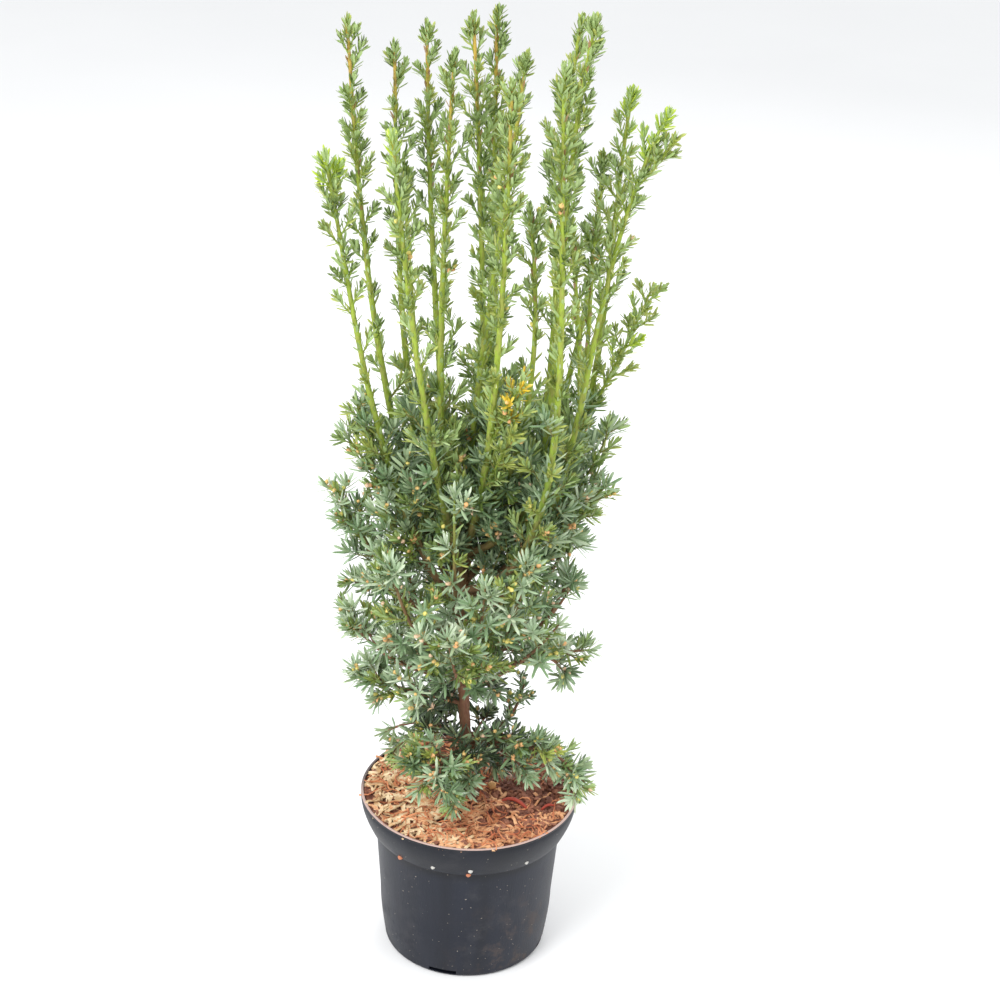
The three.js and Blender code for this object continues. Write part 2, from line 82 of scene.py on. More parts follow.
# Lamps: place, size and power, all turned to one point. The floor's half width in millimetres
LAMPS = {
    "key_lamp": ((-1.5, -1.7, 2.6), 1.8, 74),
    "fill_lamp": ((1.9, -1.0, 1.6), 1.8, 14),
    "back_lamp": ((0.6, 2.1, 2.2), 2.0, 24),
}
LAMP_AIM = (0, 0, 0.5)
FLOOR_REACH = 14000

# The pot, with its lip, collar and body
POT_HEIGHT = 182
RIM_RADIUS = 115
LIP_HEIGHT = 3
LIP_THICKNESS = 3
LIP_ROUNDING = 1.0
COLLAR_HEIGHT = 39
COLLAR_FOOT_RADIUS = 104
BODY_TOP_RADIUS = 98.5
BODY_MIDDLE_RADIUS = 92.5
BODY_MIDDLE_HEIGHT = 62
BODY_LOW_RADIUS = 87
FOOT_RADIUS = 82.5
FOOT_ROUNDING = 6
FOOT_BAND = 14
COLLAR_ROUNDING = 1.2
POT_WALL = 2
POT_FLOOR = 2.5
POT_SIDES = 128
POT_EDGE_ANGLE = 38
SLOT_WIDTH = 30
SLOT_HEIGHT = 5
SLOT_COUNT = 4
SLOT_DEPTH = 40
SLOT_BEARING = -104

# Chips of bark and grit that stick to the collar: bearing in degrees, height, length, colour
COLLAR_CHIPS = (
    (-130, 146, 6.5, "rust_chip"),
    (-108, 150, 5.0, "pale_chip"),
    (-87, 151, 5.5, "pale_chip"),
    (-88, 144, 5.5, "rust_chip"),
    (-54, 150, 5.0, "pale_chip"),
)

# Lumps of wood on the bare peat: place, length, colour
SOIL_CHIPS = (
    (22, 8, 12, "tan_chip"),
    (40, 29, 10, "pink_chip"),
    (58, 30, 7, "tan_chip"),
)
SOIL_CHIP_HEADING = (0.4, -0.5, 0.75)
CHIP_COLOURS = {
    "rust_chip": (190, 118, 84),
    "pale_chip": (196, 194, 188),
    "tan_chip": (220, 170, 112),
    "pink_chip": (204, 164, 150),
}

# Red strips of bark on the peat: one end, the middle that arches up, the other end, the radius.
# The lifts are how far those three points lie above the soil.
SOIL_STRIPS = (
    ((34, -21), (47, -15), (61, -31), 2.2),
    ((77, -31), (83, -27), (90, -30), 1.7),
)
STRIP_LIFTS = (3.5, 9, 3.5)
STRIP_COLOUR = (172, 66, 48)

# Inputs of the rule that strews strips over the soil, in metres, with what they are at first
STRIP_INPUTS = {
    "Strips per square metre": 1000.0,
    "Strip length": 0.02,
    "Strip width": 0.002,
    "Strip thickness": 0.0008,
    "Strip curl": 0.004,
    "Tilt": 0.3,
    "Warp": 0.003,
    "Height above soil": 0.001,
}

# Kinds of mulch: finish, dark and light colour, and the values of those inputs and of the seed
Mulch = namedtuple("Mulch", "finish dark light values")
MULCH = {
    "straw_shreds": Mulch("pale_straw", (196, 156, 110), (242, 220, 182),
                          (24000.0, 0.021, 0.003, 0.0008, 0.005, 0.3, 0.004, 0.001, 3)),
    "orange_bark_shreds": Mulch("orange_shreds", (184, 120, 80), (236, 184, 138),
                                (30000.0, 0.015, 0.0026, 0.0012, 0.003, 0.35, 0.004, 0.001, 11)),
    "dark_bark_crumbs": Mulch("dark_bark", (100, 60, 48), (162, 108, 84),
                              (42000.0, 0.007, 0.0035, 0.0022, 0.001, 0.6, 0.004, 0.001, 23)),
    "rust_fibres": Mulch("rust_fibres", (174, 94, 62), (224, 152, 106),
                         (11000.0, 0.026, 0.0009, 0.0007, 0.009, 0.35, 0.007, 0.003, 31)),
}

# The soil under the mulch, which is heaped up a little towards the lip
SOIL_EDGE_HEIGHT = 176
SOIL_HEAP = 3.2
SOIL_HEAP_START = 0.8
MULCH_MARGIN = 4
SOIL_CENTRE_HEIGHT = 178
SOIL_RADIUS = 112.2
SOIL_DEPTH = 30
SOIL_LUMP = 2.2
SOIL_GRAIN = 0.9
SKIRT_TAPER = 0.84
SOIL_RINGS = 56
SOIL_SIDES = 160

# The trunk, which leans a little to the left before its tip
TRUNK_FOOT = (0, 0, 178.3)
TRUNK_BEND = (-20, 8, 385)
TRUNK_TIP = (-10, 8, 523)
FLARE_RADIUS = 10.5
FLARE_LENGTH = 22
TRUNK_FOOT_RADIUS = 6.6
TRUNK_TIP_RADIUS = 3.3
TRUNK_SIDES = 40
TRUNK_RINGS = 230
TRUNK_SUNK = 2.0

# Radii of boughs and stems, the flare at a bough's foot, millimetres from ring to ring, and
# the seed of the first bough's bark
BOUGH_FOOT_RADIUS = 3.9
BOUGH_END_RADIUS = 3.9
SPRAY_FOOT_RADIUS = 3.0
STEM_TIP_RADIUS = 1.5
SPRAY_TIP_RADIUS = 1.0
BOUGH_FLARE = 0.45
BOUGH_FLARE_LENGTH = 9
BOUGH_RING_PACE = 1.6
STEM_RING_PACE = 3.2
FIRST_BARK_SEED = 40

# The trunk's relief: its bark, the swelling where a limb leaves it, with its reach round the
# trunk and up it, and ridges that run out some way above the foot
TRUNK_BARK_SEED = 5
TRUNK_BARK_DEPTH = 0.55
SWELLING = 1.5
SWELLING_TURN = 0.6
SWELLING_RISE = 5.5
RIDGE_DEPTH = 0.35
RIDGE_LENGTH = 60
BOUGH_BARK_DEPTH = 0.4

# The turn from one leaf or twig to the next
GOLDEN_TURN = math.radians(137.508)

# Heights in metres between which the bark turns from old to young, and to golden tips
OLD_TO_YOUNG_BARK = (0.34, 0.74)
GOLDEN_TIPS = (0.86, 0.95)

# Plates of bark, and the finer scales on them: how many go round, how many rows are drawn
# before they come again, and the height of a row
BARK_PLATES = (9, 90, 7.0)
BARK_SCALES = (22, 240, 2.4)

# A limb: where it leaves the trunk, the knee where it turns up, its tip, the bare share of it,
# the length of its lowest twigs, how far its upper part bows outwards, and its needles' scale
Limb = namedtuple("Limb", "rise knee tip bare spread bow needle", defaults=(0, 1.0))

# The leading shoots
SHOOTS = {
    "left_outer": Limb(382, (-105, -32, 542), (-151, -30, 877), 0.15, 52, bow=-8),
    "left_tall": Limb(399, (-102, 30, 540), (-136, 20, 990), 0.13, 50, bow=2),
    "left_front": Limb(430, (-40, -68, 547), (-87, -80, 911), 0.13, 46, bow=10),
    "left_back": Limb(416, (-78, 60, 500), (-94, 55, 960), 0.13, 46, bow=5),
    "mid_left_back": Limb(456, (-32, 62, 467), (-66, 92, 972), 0.12, 46, bow=20),
    "mid_left": Limb(480, (-47, -20, 485), (-36, -20, 973), 0, 40, bow=5),
    "centre_left": Limb(508, (10, 20, 522), (-21, 40, 993), 0, 34, bow=-8),
    "centre_back": Limb(474, (10, 62, 485), (0, 70, 991), 0, 40, bow=-2),
    "centre_front": Limb(467, (10, -70, 540), (17, -100, 968), 0.13, 44, bow=20),
    "centre_right": Limb(491, (32, -35, 520), (37, -55, 843), 0, 36, bow=48),
    "right_tall_back": Limb(447, (110, 67, 527), (79, 50, 993), 0.12, 44, bow=-55),
    "right_tall_front": Limb(458, (110, -45, 510), (90, -20, 1009), 0.12, 44, bow=-58),
    "right_short": Limb(416, (105, -108, 487), (62, -90, 982), 0.13, 44, bow=-28),
    "right_inner": Limb(405, (135, 0, 520), (78, 8, 806), 0.14, 42, bow=-15),
    "right_bushy": Limb(381, (135, 88, 527), (105, 80, 791), 0.15, 46, bow=-32),
    "right_upper": Limb(393, (135, 32, 502), (128, 30, 930), 0.14, 48, bow=-25),
    "right_outer": Limb(369, (125, -58, 520), (157, -40, 930), 0.15, 48, bow=-70),
    "back_left": Limb(366, (-58, 105, 460), (-87, 122, 826), 0.14, 48, bow=5),
    "back_middle": Limb(437, (12, 135, 480), (6, 135, 877), 0.13, 48, bow=0),
    "back_right": Limb(424, (72, 95, 485), (108, 120, 845), 0.14, 48, bow=28),
}

# The leader carries the trunk on, and ends a little forward of it
LEADER = Limb(TRUNK_TIP[2], (-14, 0, 600), (29, -50, 979), 0, 34, bow=5)

# The lower sprays, which spread flat from the trunk and lift at their tips
SPRAYS = {
    "left_middle": Limb(352, (-80, 10, 400), (-134, 10, 498), 0, 72),
    "left_low": Limb(316, (-75, -20, 328), (-126, -25, 392), 0, 68),
    "left_lowest": Limb(284, (-70, 15, 290), (-115, 12, 306), 0, 58),
    "front_high": Limb(362, (-20, -80, 420), (-23, -75, 562), 0, 52),
    "front_left": Limb(326, (-60, -60, 380), (-84, -90, 494), 0, 64),
    "front_right": Limb(338, (40, -70, 390), (48, -97, 505), 0, 60),
    "front_middle": Limb(324, (5, -75, 374), (10, -104, 480), 0, 56),
    "front_low": Limb(308, (-15, -70, 346), (-25, -115, 428), 0, 60),
    "right_middle": Limb(330, (65, 0, 362), (101, 5, 434), 0, 68),
    "right_front": Limb(298, (50, -44, 356), (84, -66, 420), 0, 62),
    "right_arm": Limb(308, (62, -22, 362), (121, -15, 364), 0.35, 54),
    "back_middle_low": Limb(296, (10, 75, 335), (15, 115, 434), 0, 70),
    "back_left_low": Limb(306, (-80, 50, 345), (-112, 60, 450), 0, 70),
    "back_right_low": Limb(322, (70, 50, 375), (106, 60, 498), 0, 70),
    "base_left": Limb(236, (-45, 20, 262), (-92, 25, 232), 0, 42),
    "base_front": Limb(226, (-25, -50, 255), (-52, -82, 228), 0, 46),
    "base_right": Limb(232, (60, -25, 275), (121, -27, 212), 0.35, 40),
    "inner_sprig": Limb(246, (40, 20, 240), (54, 27, 296), 0, 30, needle=0.6),
}

# Greens of single side branches, each named as often as it comes up
FRESH_GREENS = ("fresh_green", "bright_green", "leaf_green")
SPRIG_GREENS = ("leaf_green", "bright_green")
GOLD_GREENS = ("gold_green", "gold_green", "gold_green", "bright_green")
CLUMP_GREENS = ("leaf_green", "bright_green", "deep_green")
# Painted shade: dark greens for side branches in the shadow round the trunk and under sprays
DARK_SHADE_GREENS = ("dark_green", "dark_green", "blue_green")
SHADE_GREENS = ("shade_green", "shade_green", "dark_green")
# Low greens, darker as painted shade under the crown; the low sprays take them too
LOW_GREENS = ("dark_green", "deep_green", "blue_green", "leaf_green", "dark_green")

# Side branches that show by themselves: their parent, the share of it where they leave it,
# their knee and tip, the lengths of their lowest and highest twigs, and greens of their own
Lateral = namedtuple("Lateral", "parent share knee tip twigs greens", defaults=((28, 16), None))
LATERALS = {
    "right_low": Lateral("right_upper", 0.42, (139, 8, 690), (157, 0, 751), greens=FRESH_GREENS),
    "right_high": Lateral("right_outer", 0.2, (110, -28, 566), (128, 6, 606), (24, 14)),
    "right_tuft": Lateral("right_outer", 0.88, (157, -40, 888), (164, -40, 907), (15, 11), FRESH_GREENS),
    "centre_sprig": Lateral("centre_front", 0.18, (30, -80, 620), (34, -82, 660), (16, 12), SPRIG_GREENS),
    "centre_tuft": Lateral("centre_front", 0.3, (30, -88, 672), (38, -82, 686), (13, 11), GOLD_GREENS),
    "left_bush": Lateral("left_outer", 0.28, (-112, -26, 596), (-122, -20, 630), (20, 12)),
    "left_edge": Lateral("left_middle", 0.7, (-128, 8, 494), (-143, 2, 526), (24, 14)),
    "left_fan": Lateral("left_middle", 0.4, (-104, 4, 420), (-132, 0, 425), (15, 10)),
    "left_palm": Lateral("left_low", 0.7, (-116, -20, 396), (-134, -16, 402), (18, 12)),
    "left_foot": Lateral("base_left", 0.45, (-64, 26, 230), (-84, 30, 206), (16, 12)),
    "left_fill": Lateral("left_middle", 0.3, (-58, -6, 404), (-68, -14, 440), (30, 18)),
    "left_filler": Lateral("left_outer", 0.12, (-84, -18, 478), (-96, -12, 518), (28, 18)),
    "right_end": Lateral("right_middle", 0.7, (88, 0, 428), (98, -6, 438), (18, 12)),
    "left_hand": Lateral("left_lowest", 0.7, (-108, 12, 306), (-124, 8, 314), (16, 12)),
    "left_under": Lateral("left_lowest", 0.5, (-80, 10, 292), (-100, 8, 286), (16, 12)),
    "right_mid": Lateral("right_inner", 0.16, (105, -18, 505), (122, -24, 556)),
    "left_high": Lateral("left_outer", 0.24, (-108, -22, 560), (-134, -16, 598), (20, 12)),
    "arm_droop": Lateral("right_arm", 0.66, (90, -20, 352), (96, -20, 330), (9, 8)),
    "clump_upper": Lateral("base_front", 0.45, (-48, -52, 262), (-66, -66, 250), (22, 14), CLUMP_GREENS),
    "clump_lower": Lateral("base_front", 0.55, (-34, -80, 246), (-22, -90, 230), (20, 12), LOW_GREENS),
    "clump_star": Lateral("base_front", 0.5, (-20, -72, 236), (-14, -86, 211), (9, 8)),
    "foot_cover": Lateral("base_front", 0.1, (-8, -24, 264), (-2, -40, 242), (26, 18), SHADE_GREENS),
    "foot_skirt": Lateral("base_front", 0.12, (-8, -32, 230), (-8, -42, 208), (20, 14), DARK_SHADE_GREENS),
    "foot_star": Lateral("base_front", 0.2, (-5, -36, 242), (-1, -52, 222), (14, 8), LOW_GREENS),
    "trunk_right": Lateral("inner_sprig", 0.1, (12, 16, 256), (18, 28, 262), (16, 10), SHADE_GREENS),
    "curtain_far_left": Lateral("left_lowest", 0.3, (-36, 8, 296), (-48, 12, 272), (28, 20), SHADE_GREENS),
    "curtain_left": Lateral("back_middle_low", 0.12, (-18, 20, 300), (-28, 22, 266), (28, 20), SHADE_GREENS),
    "curtain_middle": Lateral("back_middle_low", 0.14, (-4, 34, 304), (-8, 40, 268), (26, 18), SHADE_GREENS),
    "curtain_right": Lateral("back_middle_low", 0.12, (16, 26, 308), (20, 30, 280), (20, 14), SHADE_GREENS),
    "fork_cover": Lateral("front_low", 0.1, (-4, -22, 322), (4, -28, 318), (20, 14), DARK_SHADE_GREENS),
    "spray_foot": Lateral("base_right", 0.1, (22, -18, 262), (50, -26, 258), (20, 14)),
    "spray_middle": Lateral("base_right", 0.4, (62, -22, 254), (76, -22, 258), (14, 10)),
    "spray_inner": Lateral("base_right", 0.04, (16, -14, 240), (32, -24, 222), (22, 14), SHADE_GREENS),
    "spray_skirt": Lateral("base_right", 0.2, (40, -26, 240), (62, -34, 226), (22, 14), DARK_SHADE_GREENS),
    "spray_hem": Lateral("base_right", 0.45, (74, -30, 244), (92, -36, 228), (18, 12), LOW_GREENS),
    "droop_end": Lateral("base_right", 0.7, (108, -34, 240), (114, -46, 207), (20, 12)),
    "back_cover": Lateral("base_left", 0.25, (-25, 30, 250), (-45, 48, 226)),
}

# Shoots that end in fresh yellow-green tufts, and how far down those go
FRESH_TIPS = {"left_outer": 26, "left_front": 26, "right_outer": 50, "right_upper": 34}

# Fixed seeds: the solids' for the limbs, and others for the side branches
FIRST_LIMB_SEED = 11
FIRST_LATERAL_SEED = 211

# Twigs of the solids' plan: how many, the shares of a limb between which they stand, the share
# that the last one on a shoot has, and their pitches from the lowest to the highest
SHOOT_TWIGS = 3
SPRAY_TWIGS = 5
TWIGS_START = 0.16
SHOOT_TWIGS_END = 0.46
SPRAY_TWIGS_END = 0.95
TOP_TWIG = 0.92
TOP_TWIG_PITCH = 0.55
SOLID_TWIG_PITCHES = (1.05, 0.75)

# Every twig: how far its tip rises as a share of its length, how much shorter each try for room
# makes it, the shortest that is grown, and how far it keeps off the trunk
TWIG_RISE = 0.25
TWIG_SHRINK = 0.8
TWIG_SHORTEST = 8
TRUNK_CLEARANCE = 9

# How far in millimetres finer twigs may go: past the limb's own reach, into the next limb's
# space, and past the solids' box. A limb is steep where it rises by more than a share of its way.
SHOOT_SPARE = 6
SPRAY_SPARE = -4
STEEP_SPARE = 4
LATERAL_SPARE = 14
STEEP_RISE = 0.6
REACH_WINDOW = 50
SHARED_SPACE = 16
OLD_SHARED_SPACE = 34
BOX_SPARE = 4

# Spaces that stay open: left and right edge, lowest and highest as the camera sees them, how
# far back they go, and the limbs let in. The camera looks down, so depth counts as height by
# the sight slope. They lie inside and round the right arm, under and over it, over the spray at
# the right of the base, in front of the trunk's foot, up the middle, and between the sprays on
# the left.
OpenSpace = namedtuple("OpenSpace", "left right low high back limbs")
OPEN_SPACES = (
    OpenSpace(26, 84, 258, 336, 200, ("inner_sprig",)),
    OpenSpace(84, 200, 258, 344, 200, ("right_arm",)),
    OpenSpace(76, 200, 367, 412, 200, ()),
    OpenSpace(50, 88, 252, 284, 200, ("right_arm", "inner_sprig")),
    OpenSpace(88, 140, 240, 284, 200, ("right_arm", "inner_sprig")),
    OpenSpace(-38, 34, 256, 300, -10, ()),
    OpenSpace(-15, 3, 410, 496, -6, ()),
    OpenSpace(-128, -66, 401, 414, 200, ()),
    OpenSpace(-140, -92, 337, 352, 200, ()),
    OpenSpace(-120, -62, 243, 276, 200, ()),
)
SIGHT_SLOPE = 0.474

# Finer twigs of sprays, side branches and shoots' tips, and the twigs that twigs bear: the
# millimetres from one to the next, their pitches, the share of a limb where they end, and the
# shortest twig that bears others
SPRAY_TWIG_PACE = 20
BASE_TWIG_PACE = 14
LATERAL_TWIG_PACE = 10
SUB_TWIG_PACE = 26
SPRAY_TWIG_PITCHES = (1.2, 0.85)
LATERAL_TWIG_PITCH = 0.8
SUB_TWIG_PITCH = 0.85
TIP_TWIG_PITCH = 0.5
FINE_TWIGS_END = 0.97
SUB_TWIG_LEAST = 30

# Zones of an upright shoot: old wood, an open stem, tufted growth that crowds higher up, and a
# sparse top under the tuft at its tip
Zone = namedtuple("Zone", "twig_pace twig_length twig_pitch stem_pace stem_needle stem_pitch")
OLD_WOOD = Zone(14, (26, 46), 0.9, 1.9, 21.5, 0.75)
OPEN_STEM = Zone(32, (10, 24), 0.75, 3.8, 14, 0.75)
TUFTED = Zone(9.5, (10, 24), 0.75, 3.6, 12, 0.65)
CROWDED = Zone(6.5, (13, 30), 0.75, 3.0, 12.5, 0.65)
SPARSE_TOP = Zone(19, (9, 16), 0.5, 4.4, 11, 0.5)
OLD_WOOD_TOP = 592
OPEN_STEM_TOP = 715
TUFTED_TOP = 822
SPARSE_LENGTH = 70
TALL_SHOOT = 890
TIP_TUFT = 18

# Needles at their real length, and how much longer those of a fresh tip are
OLD_NEEDLE = 19.5
MIDDLE_NEEDLE = 15.5
YOUNG_NEEDLE = 12
TIP_NEEDLE = 12.5
FRESH_GROWTH = 1.2
RUST_NEEDLE = 11
OLD_NEEDLE_WIDTH = 3.0
YOUNG_NEEDLE_WIDTH = 2.6

# Millimetres of twig for each needle, the share of a shoot from which rusty needles are mixed
# in, how many needles make the star at a twig's or a shoot's end, and how far down stars go
TWIG_NEEDLE_PACE = 3.0
STEEP_NEEDLE_PACE = 3.6
TUFT_NEEDLE_PACE = 1.6
RUST_NEEDLE_PACE = 10
RUST_FROM = 0.7
STAR_NEEDLES = 14
TUFT_NEEDLES = 9
TIP_NEEDLES = 30
STAR_DEPTH = 12
SPRAY_STAR_DEPTH = 14
TUFT_DEPTH = 8

# A needle's three rings as shares: how far along, how broad, and how high its ridge is
NEEDLE_RINGS = ((0.0, 0.4, 0.30), (0.3, 1.0, 0.42), (0.8, 0.9, 0.34))
NEEDLE_SIDES = ((0, 1), (1, 2), (2, 0))

# A bud's rings as shares: how far along, and how broad
BUD_RINGS = ((0.12, 0.3), (0.42, 0.5), (0.78, 0.34))

# Pitches of a star's needles from its foot to its tip
OLD_STAR = (1.4, 0.5)
SHOOT_STAR = (1.1, 0.3)
YOUNG_STAR = (0.95, 0.2)

# The share of needles that are one step paler than the rest of their twig: partly tone that
# differs at random, partly painted highlight
PALER_SHARE = 0.38

# Where the greens change. By height: where the low greens, darkened as painted shade under the
# crown, end, where young ones begin, and where all are young. By the distance from the axis:
# dark as painted shade within the first radius, paler as painted light on shoots beyond the
# second, and deep in shade low down within the third.
LOW_TOP = 300
YOUNG_FROM = 535
YOUNG_FULL = 680
INNER_SHADE_RADIUS = 42
EDGE_RADIUS = 88
LOW_SHADE_RADIUS = 50

# The shade round the trunk under the front sprays: left and right edge, lowest and highest as
# the camera sees them
SHADE_LEFT = -52
SHADE_RIGHT = 34
SHADE_LOW = 262
SHADE_HIGH = 320

# Twigs turn from brown to olive and to green with height, and bear buds up to a height
OLIVE_TWIG_FROM = 380
GREEN_TWIG_FROM = 655
BUDS_TOP = 575
BUD_CHANCE = 0.55
HIGH_BUD_CHANCE = 0.05

# Radii of twigs and of side branches at their foot and tip
TWIG_RADII = (0.95, 0.5)
LATERAL_RADII = (1.9, 0.8)

Frames = namedtuple("Frames", "point along across lift")
Twig = namedtuple("Twig", "share turn length pitch greens spare", defaults=(None, None))


def linear(red, green, blue):
    """A colour that is read off a screen, as the light that a material gives back."""
    shares = [part / 255 for part in (red, green, blue)]
    light = [part / 12.92 if part <= 0.04045 else ((part + 0.055) / 1.055) ** 2.4 for part in shares]
    return (*light, 1.0)


class Val:
    """A socket in a node tree, which takes part in sums."""

    def __init__(self, tree, socket):
        self.tree = tree
        self.socket = socket

    def __add__(self, other):
        return self.tree.maths("ADD", self, other)

    def __radd__(self, other):
        return self.tree.maths("ADD", other, self)

    def __sub__(self, other):
        return self.tree.maths("SUBTRACT", self, other)

    def __rsub__(self, other):
        return self.tree.maths("SUBTRACT", other, self)

    def __mul__(self, other):
        return self.tree.maths("MULTIPLY", self, other)

    def __rmul__(self, other):
        return self.tree.maths("MULTIPLY", other, self)


class Tree:
    """A node tree with one way of adding a node to it."""

    def __init__(self, tree):
        self.tree = tree

    def node(self, kind, settings=None, sockets=None, output=0):
        """Adds a node: its settings first, then the values or links of its sockets."""
        made = self.tree.nodes.new(kind)
        for name, value in (settings or {}).items():
            if name == "stops":
                self.set_stops(made.color_ramp, value)
            else:
                setattr(made, name, value)
        for name, value in (sockets or {}).items():
            self.feed(made.inputs[name], value)
        return Val(self, made.outputs[output])

    def feed(self, socket, value):
        """Links the socket to another one, or sets its value."""
        if isinstance(value, Val):
            self.tree.links.new(value.socket, socket)
        else:
            socket.default_value = value

    def set_stops(self, ramp, stops):
        """Fills a colour ramp with (place, colour) pairs."""
        while len(ramp.elements) < len(stops):
            ramp.elements.new(1.0)
        for element, (place, colour) in zip(ramp.elements, stops):
            element.position = place
            element.color = colour

    def maths(self, operation, first, second):
        return self.node("ShaderNodeMath", {"operation": operation}, {0: first, 1: second})


class Finish(Tree):
    """A material: what is the same all over it is set on the shader's own sockets."""

    def __init__(self, name, **plain):
        self.material = bpy.data.materials.new(name)
        self.material.use_nodes = True
        super().__init__(self.material.node_tree)
        self.shader = next(node for node in self.tree.nodes if node.type == "BSDF_PRINCIPLED")
        for socket, value in plain.items():
            self.shader.inputs[socket.replace("_", " ").title().replace("Ior", "IOR")].default_value = value

    def place(self, stretch=(1, 1, 1), turn=0.0):
        """The place on the object, stretched and turned about its upright."""
        spot = self.node("ShaderNodeTexCoord", output="Object")
        return self.node("ShaderNodeMapping", sockets={0: spot, "Rotation": (0, 0, turn), "Scale": stretch})

    def noise(self, scale, detail=3.0, rough=0.55, stretch=(1, 1, 1)):
        sockets = {"Vector": self.place(stretch), "Scale": scale, "Detail": detail, "Roughness": rough}
        return self.node("ShaderNodeTexNoise", sockets=sockets)

    def axis(self, axis):
        """One coordinate of the place on the object."""
        return self.node("ShaderNodeSeparateXYZ", sockets={0: self.place()}, output=axis)

    def between(self, value, low, high):
        """0 below low, 1 above high, and a soft step from one to the other."""
        settings = {"interpolation_type": "SMOOTHSTEP"}
        return self.node("ShaderNodeMapRange", settings, {0: value, 1: low, 2: high})

    def blend(self, share, first, second):
        """From the first colour to the second by a share."""
        return self.node("ShaderNodeMix", {"data_type": "RGBA"}, {0: share, 6: first, 7: second}, output=2)

    def ramp(self, value, stops):
        return self.node("ShaderNodeValToRGB", {"stops": stops}, {0: value})

    def paint(self, colour=None, roughness=None, relief=None, depth=0.001):
        if colour is not None:
            self.feed(self.shader.inputs["Base Color"], colour)
        if roughness is not None:
            self.feed(self.shader.inputs["Roughness"], roughness)
        if relief is not None:
            sockets = {"Height": relief, "Distance": depth, "Strength": 0.6}
            bump = self.node("ShaderNodeBump", sockets=sockets)
            self.feed(self.shader.inputs["Normal"], bump)
        return self.material


def needle_finish(name):
    """One plain colour of needle, with the soft gloss of its wax."""
    wax = {"coat_weight": 0.62, "coat_roughness": 0.18}
    roughness = NEEDLE_ROUGHNESS.get(name, 0.42)
    return Finish(name, base_color=linear(*NEEDLE_COLOURS[name]), roughness=roughness, **wax).material


def plain_finish(name, colour, roughness=0.6):
    return Finish(name, base_color=linear(*colour), roughness=roughness).material


# Colours of needles as they look in daylight
NEEDLE_COLOURS = {
    "fresh_green": (186, 208, 66),
    "bright_green": (170, 179, 90),
    "leaf_green": (138, 154, 76),
    "deep_green": (106, 128, 62),
    "blue_green": (124, 152, 110),
    "dark_green": (92, 114, 78),
    "grey_green": (164, 186, 150),
    # The palest green comes only as the paler step of grey green, in part a painted highlight
    "pale_green": (196, 210, 180),
    "rust_green": (156, 122, 78),
    "gold_green": (232, 200, 62),
    "shade_green": (56, 72, 48),
    "young_under": (160, 184, 116),
    "old_under": (156, 176, 134),
}
OLD_GREENS = ("shade_green", "blue_green", "dark_green", "grey_green", "pale_green")

# The next paler green of some, for painted highlights and for tone that differs at random
PALER_GREEN = {
    "dark_green": "blue_green",
    "blue_green": "grey_green",
    "grey_green": "pale_green",
    "deep_green": "leaf_green",
    "leaf_green": "bright_green",
}

# Greens by place, each named as often as it comes up: near the axis, dark as painted shade, on
# sprays, on shoots, on shoots far out, paler as painted light, and on young growth
INNER_SHADE_GREENS = ("dark_green", "dark_green", "dark_green", "deep_green", "blue_green")
OUTER_GREENS = (
    "dark_green", "blue_green", "blue_green", "grey_green", "grey_green", "leaf_green", "deep_green",
)
SHOOT_GREENS = ("dark_green", "dark_green", "dark_green", "deep_green", "deep_green", "blue_green")
EDGE_GREENS = ("blue_green", "blue_green", "grey_green", "leaf_green", "deep_green")
YOUNG_GREENS = ("deep_green", "deep_green", "leaf_green", "leaf_green", "bright_green")

NEEDLE_ROUGHNESS = {"fresh_green": 0.5, "rust_green": 0.6, "young_under": 0.6, "old_under": 0.6}
NEEDLE_KINDS = list(NEEDLE_COLOURS)
UNDERSIDE_OF = {name: "young_under" for name in ("fresh_green", "gold_green", *YOUNG_GREENS)}
UNDERSIDE_OF.update({name: "old_under" for name in OLD_GREENS})
UNDERSIDE_OF["rust_green"] = "rust_green"

# Colours of buds, how often each comes first on a twig, and colours of twigs
BUD_COLOURS = {
    "tan_bud": (228, 190, 120),
    "orange_bud": (230, 176, 120),
    "yellow_bud": (230, 214, 120),
    "pink_bud": (238, 200, 168),
}
BUD_SHARES = (0.38, 0.2, 0.32, 0.1)
TWIG_COLOURS = {"brown_twig": (116, 86, 62), "olive_twig": (128, 126, 66), "green_twig": (146, 168, 62)}


def bark_finish():
    """Bark by height: red-brown at the foot, olive above, then the yellow-green of young wood,
    with golden tips on the left."""
    finish = Finish("yew_bark", roughness=0.75)
    height = finish.between(finish.axis("Z") + finish.noise(18.0) * 0.05, *OLD_TO_YOUNG_BARK)
    stops = [
        (0.0, linear(132, 88, 66)),
        (0.3, linear(128, 102, 64)),
        (0.6, linear(114, 136, 44)),
        (1.0, linear(151, 173, 56)),
    ]
    base = finish.ramp(height, stops)
    flakes = finish.between(finish.noise(260.0, 4.0, stretch=(1, 1, 0.35)), 0.42, 0.62)
    tips = finish.between(finish.axis("Z"), *GOLDEN_TIPS) * finish.between(finish.axis("X"), 0.06, 0.0)
    golden = finish.blend(tips * 0.65, base, linear(204, 150, 70))
    tinted = finish.blend(flakes * 0.35, golden, linear(150, 122, 92))
    cracks = finish.between(finish.noise(420.0, 5.0, stretch=(1, 1, 0.2)), 0.55, 0.7)
    colour = finish.blend(cracks * 0.4, tinted, linear(60, 44, 34))
    return finish.paint(colour, 0.62 + flakes * 0.2, flakes - cracks, 0.0006)


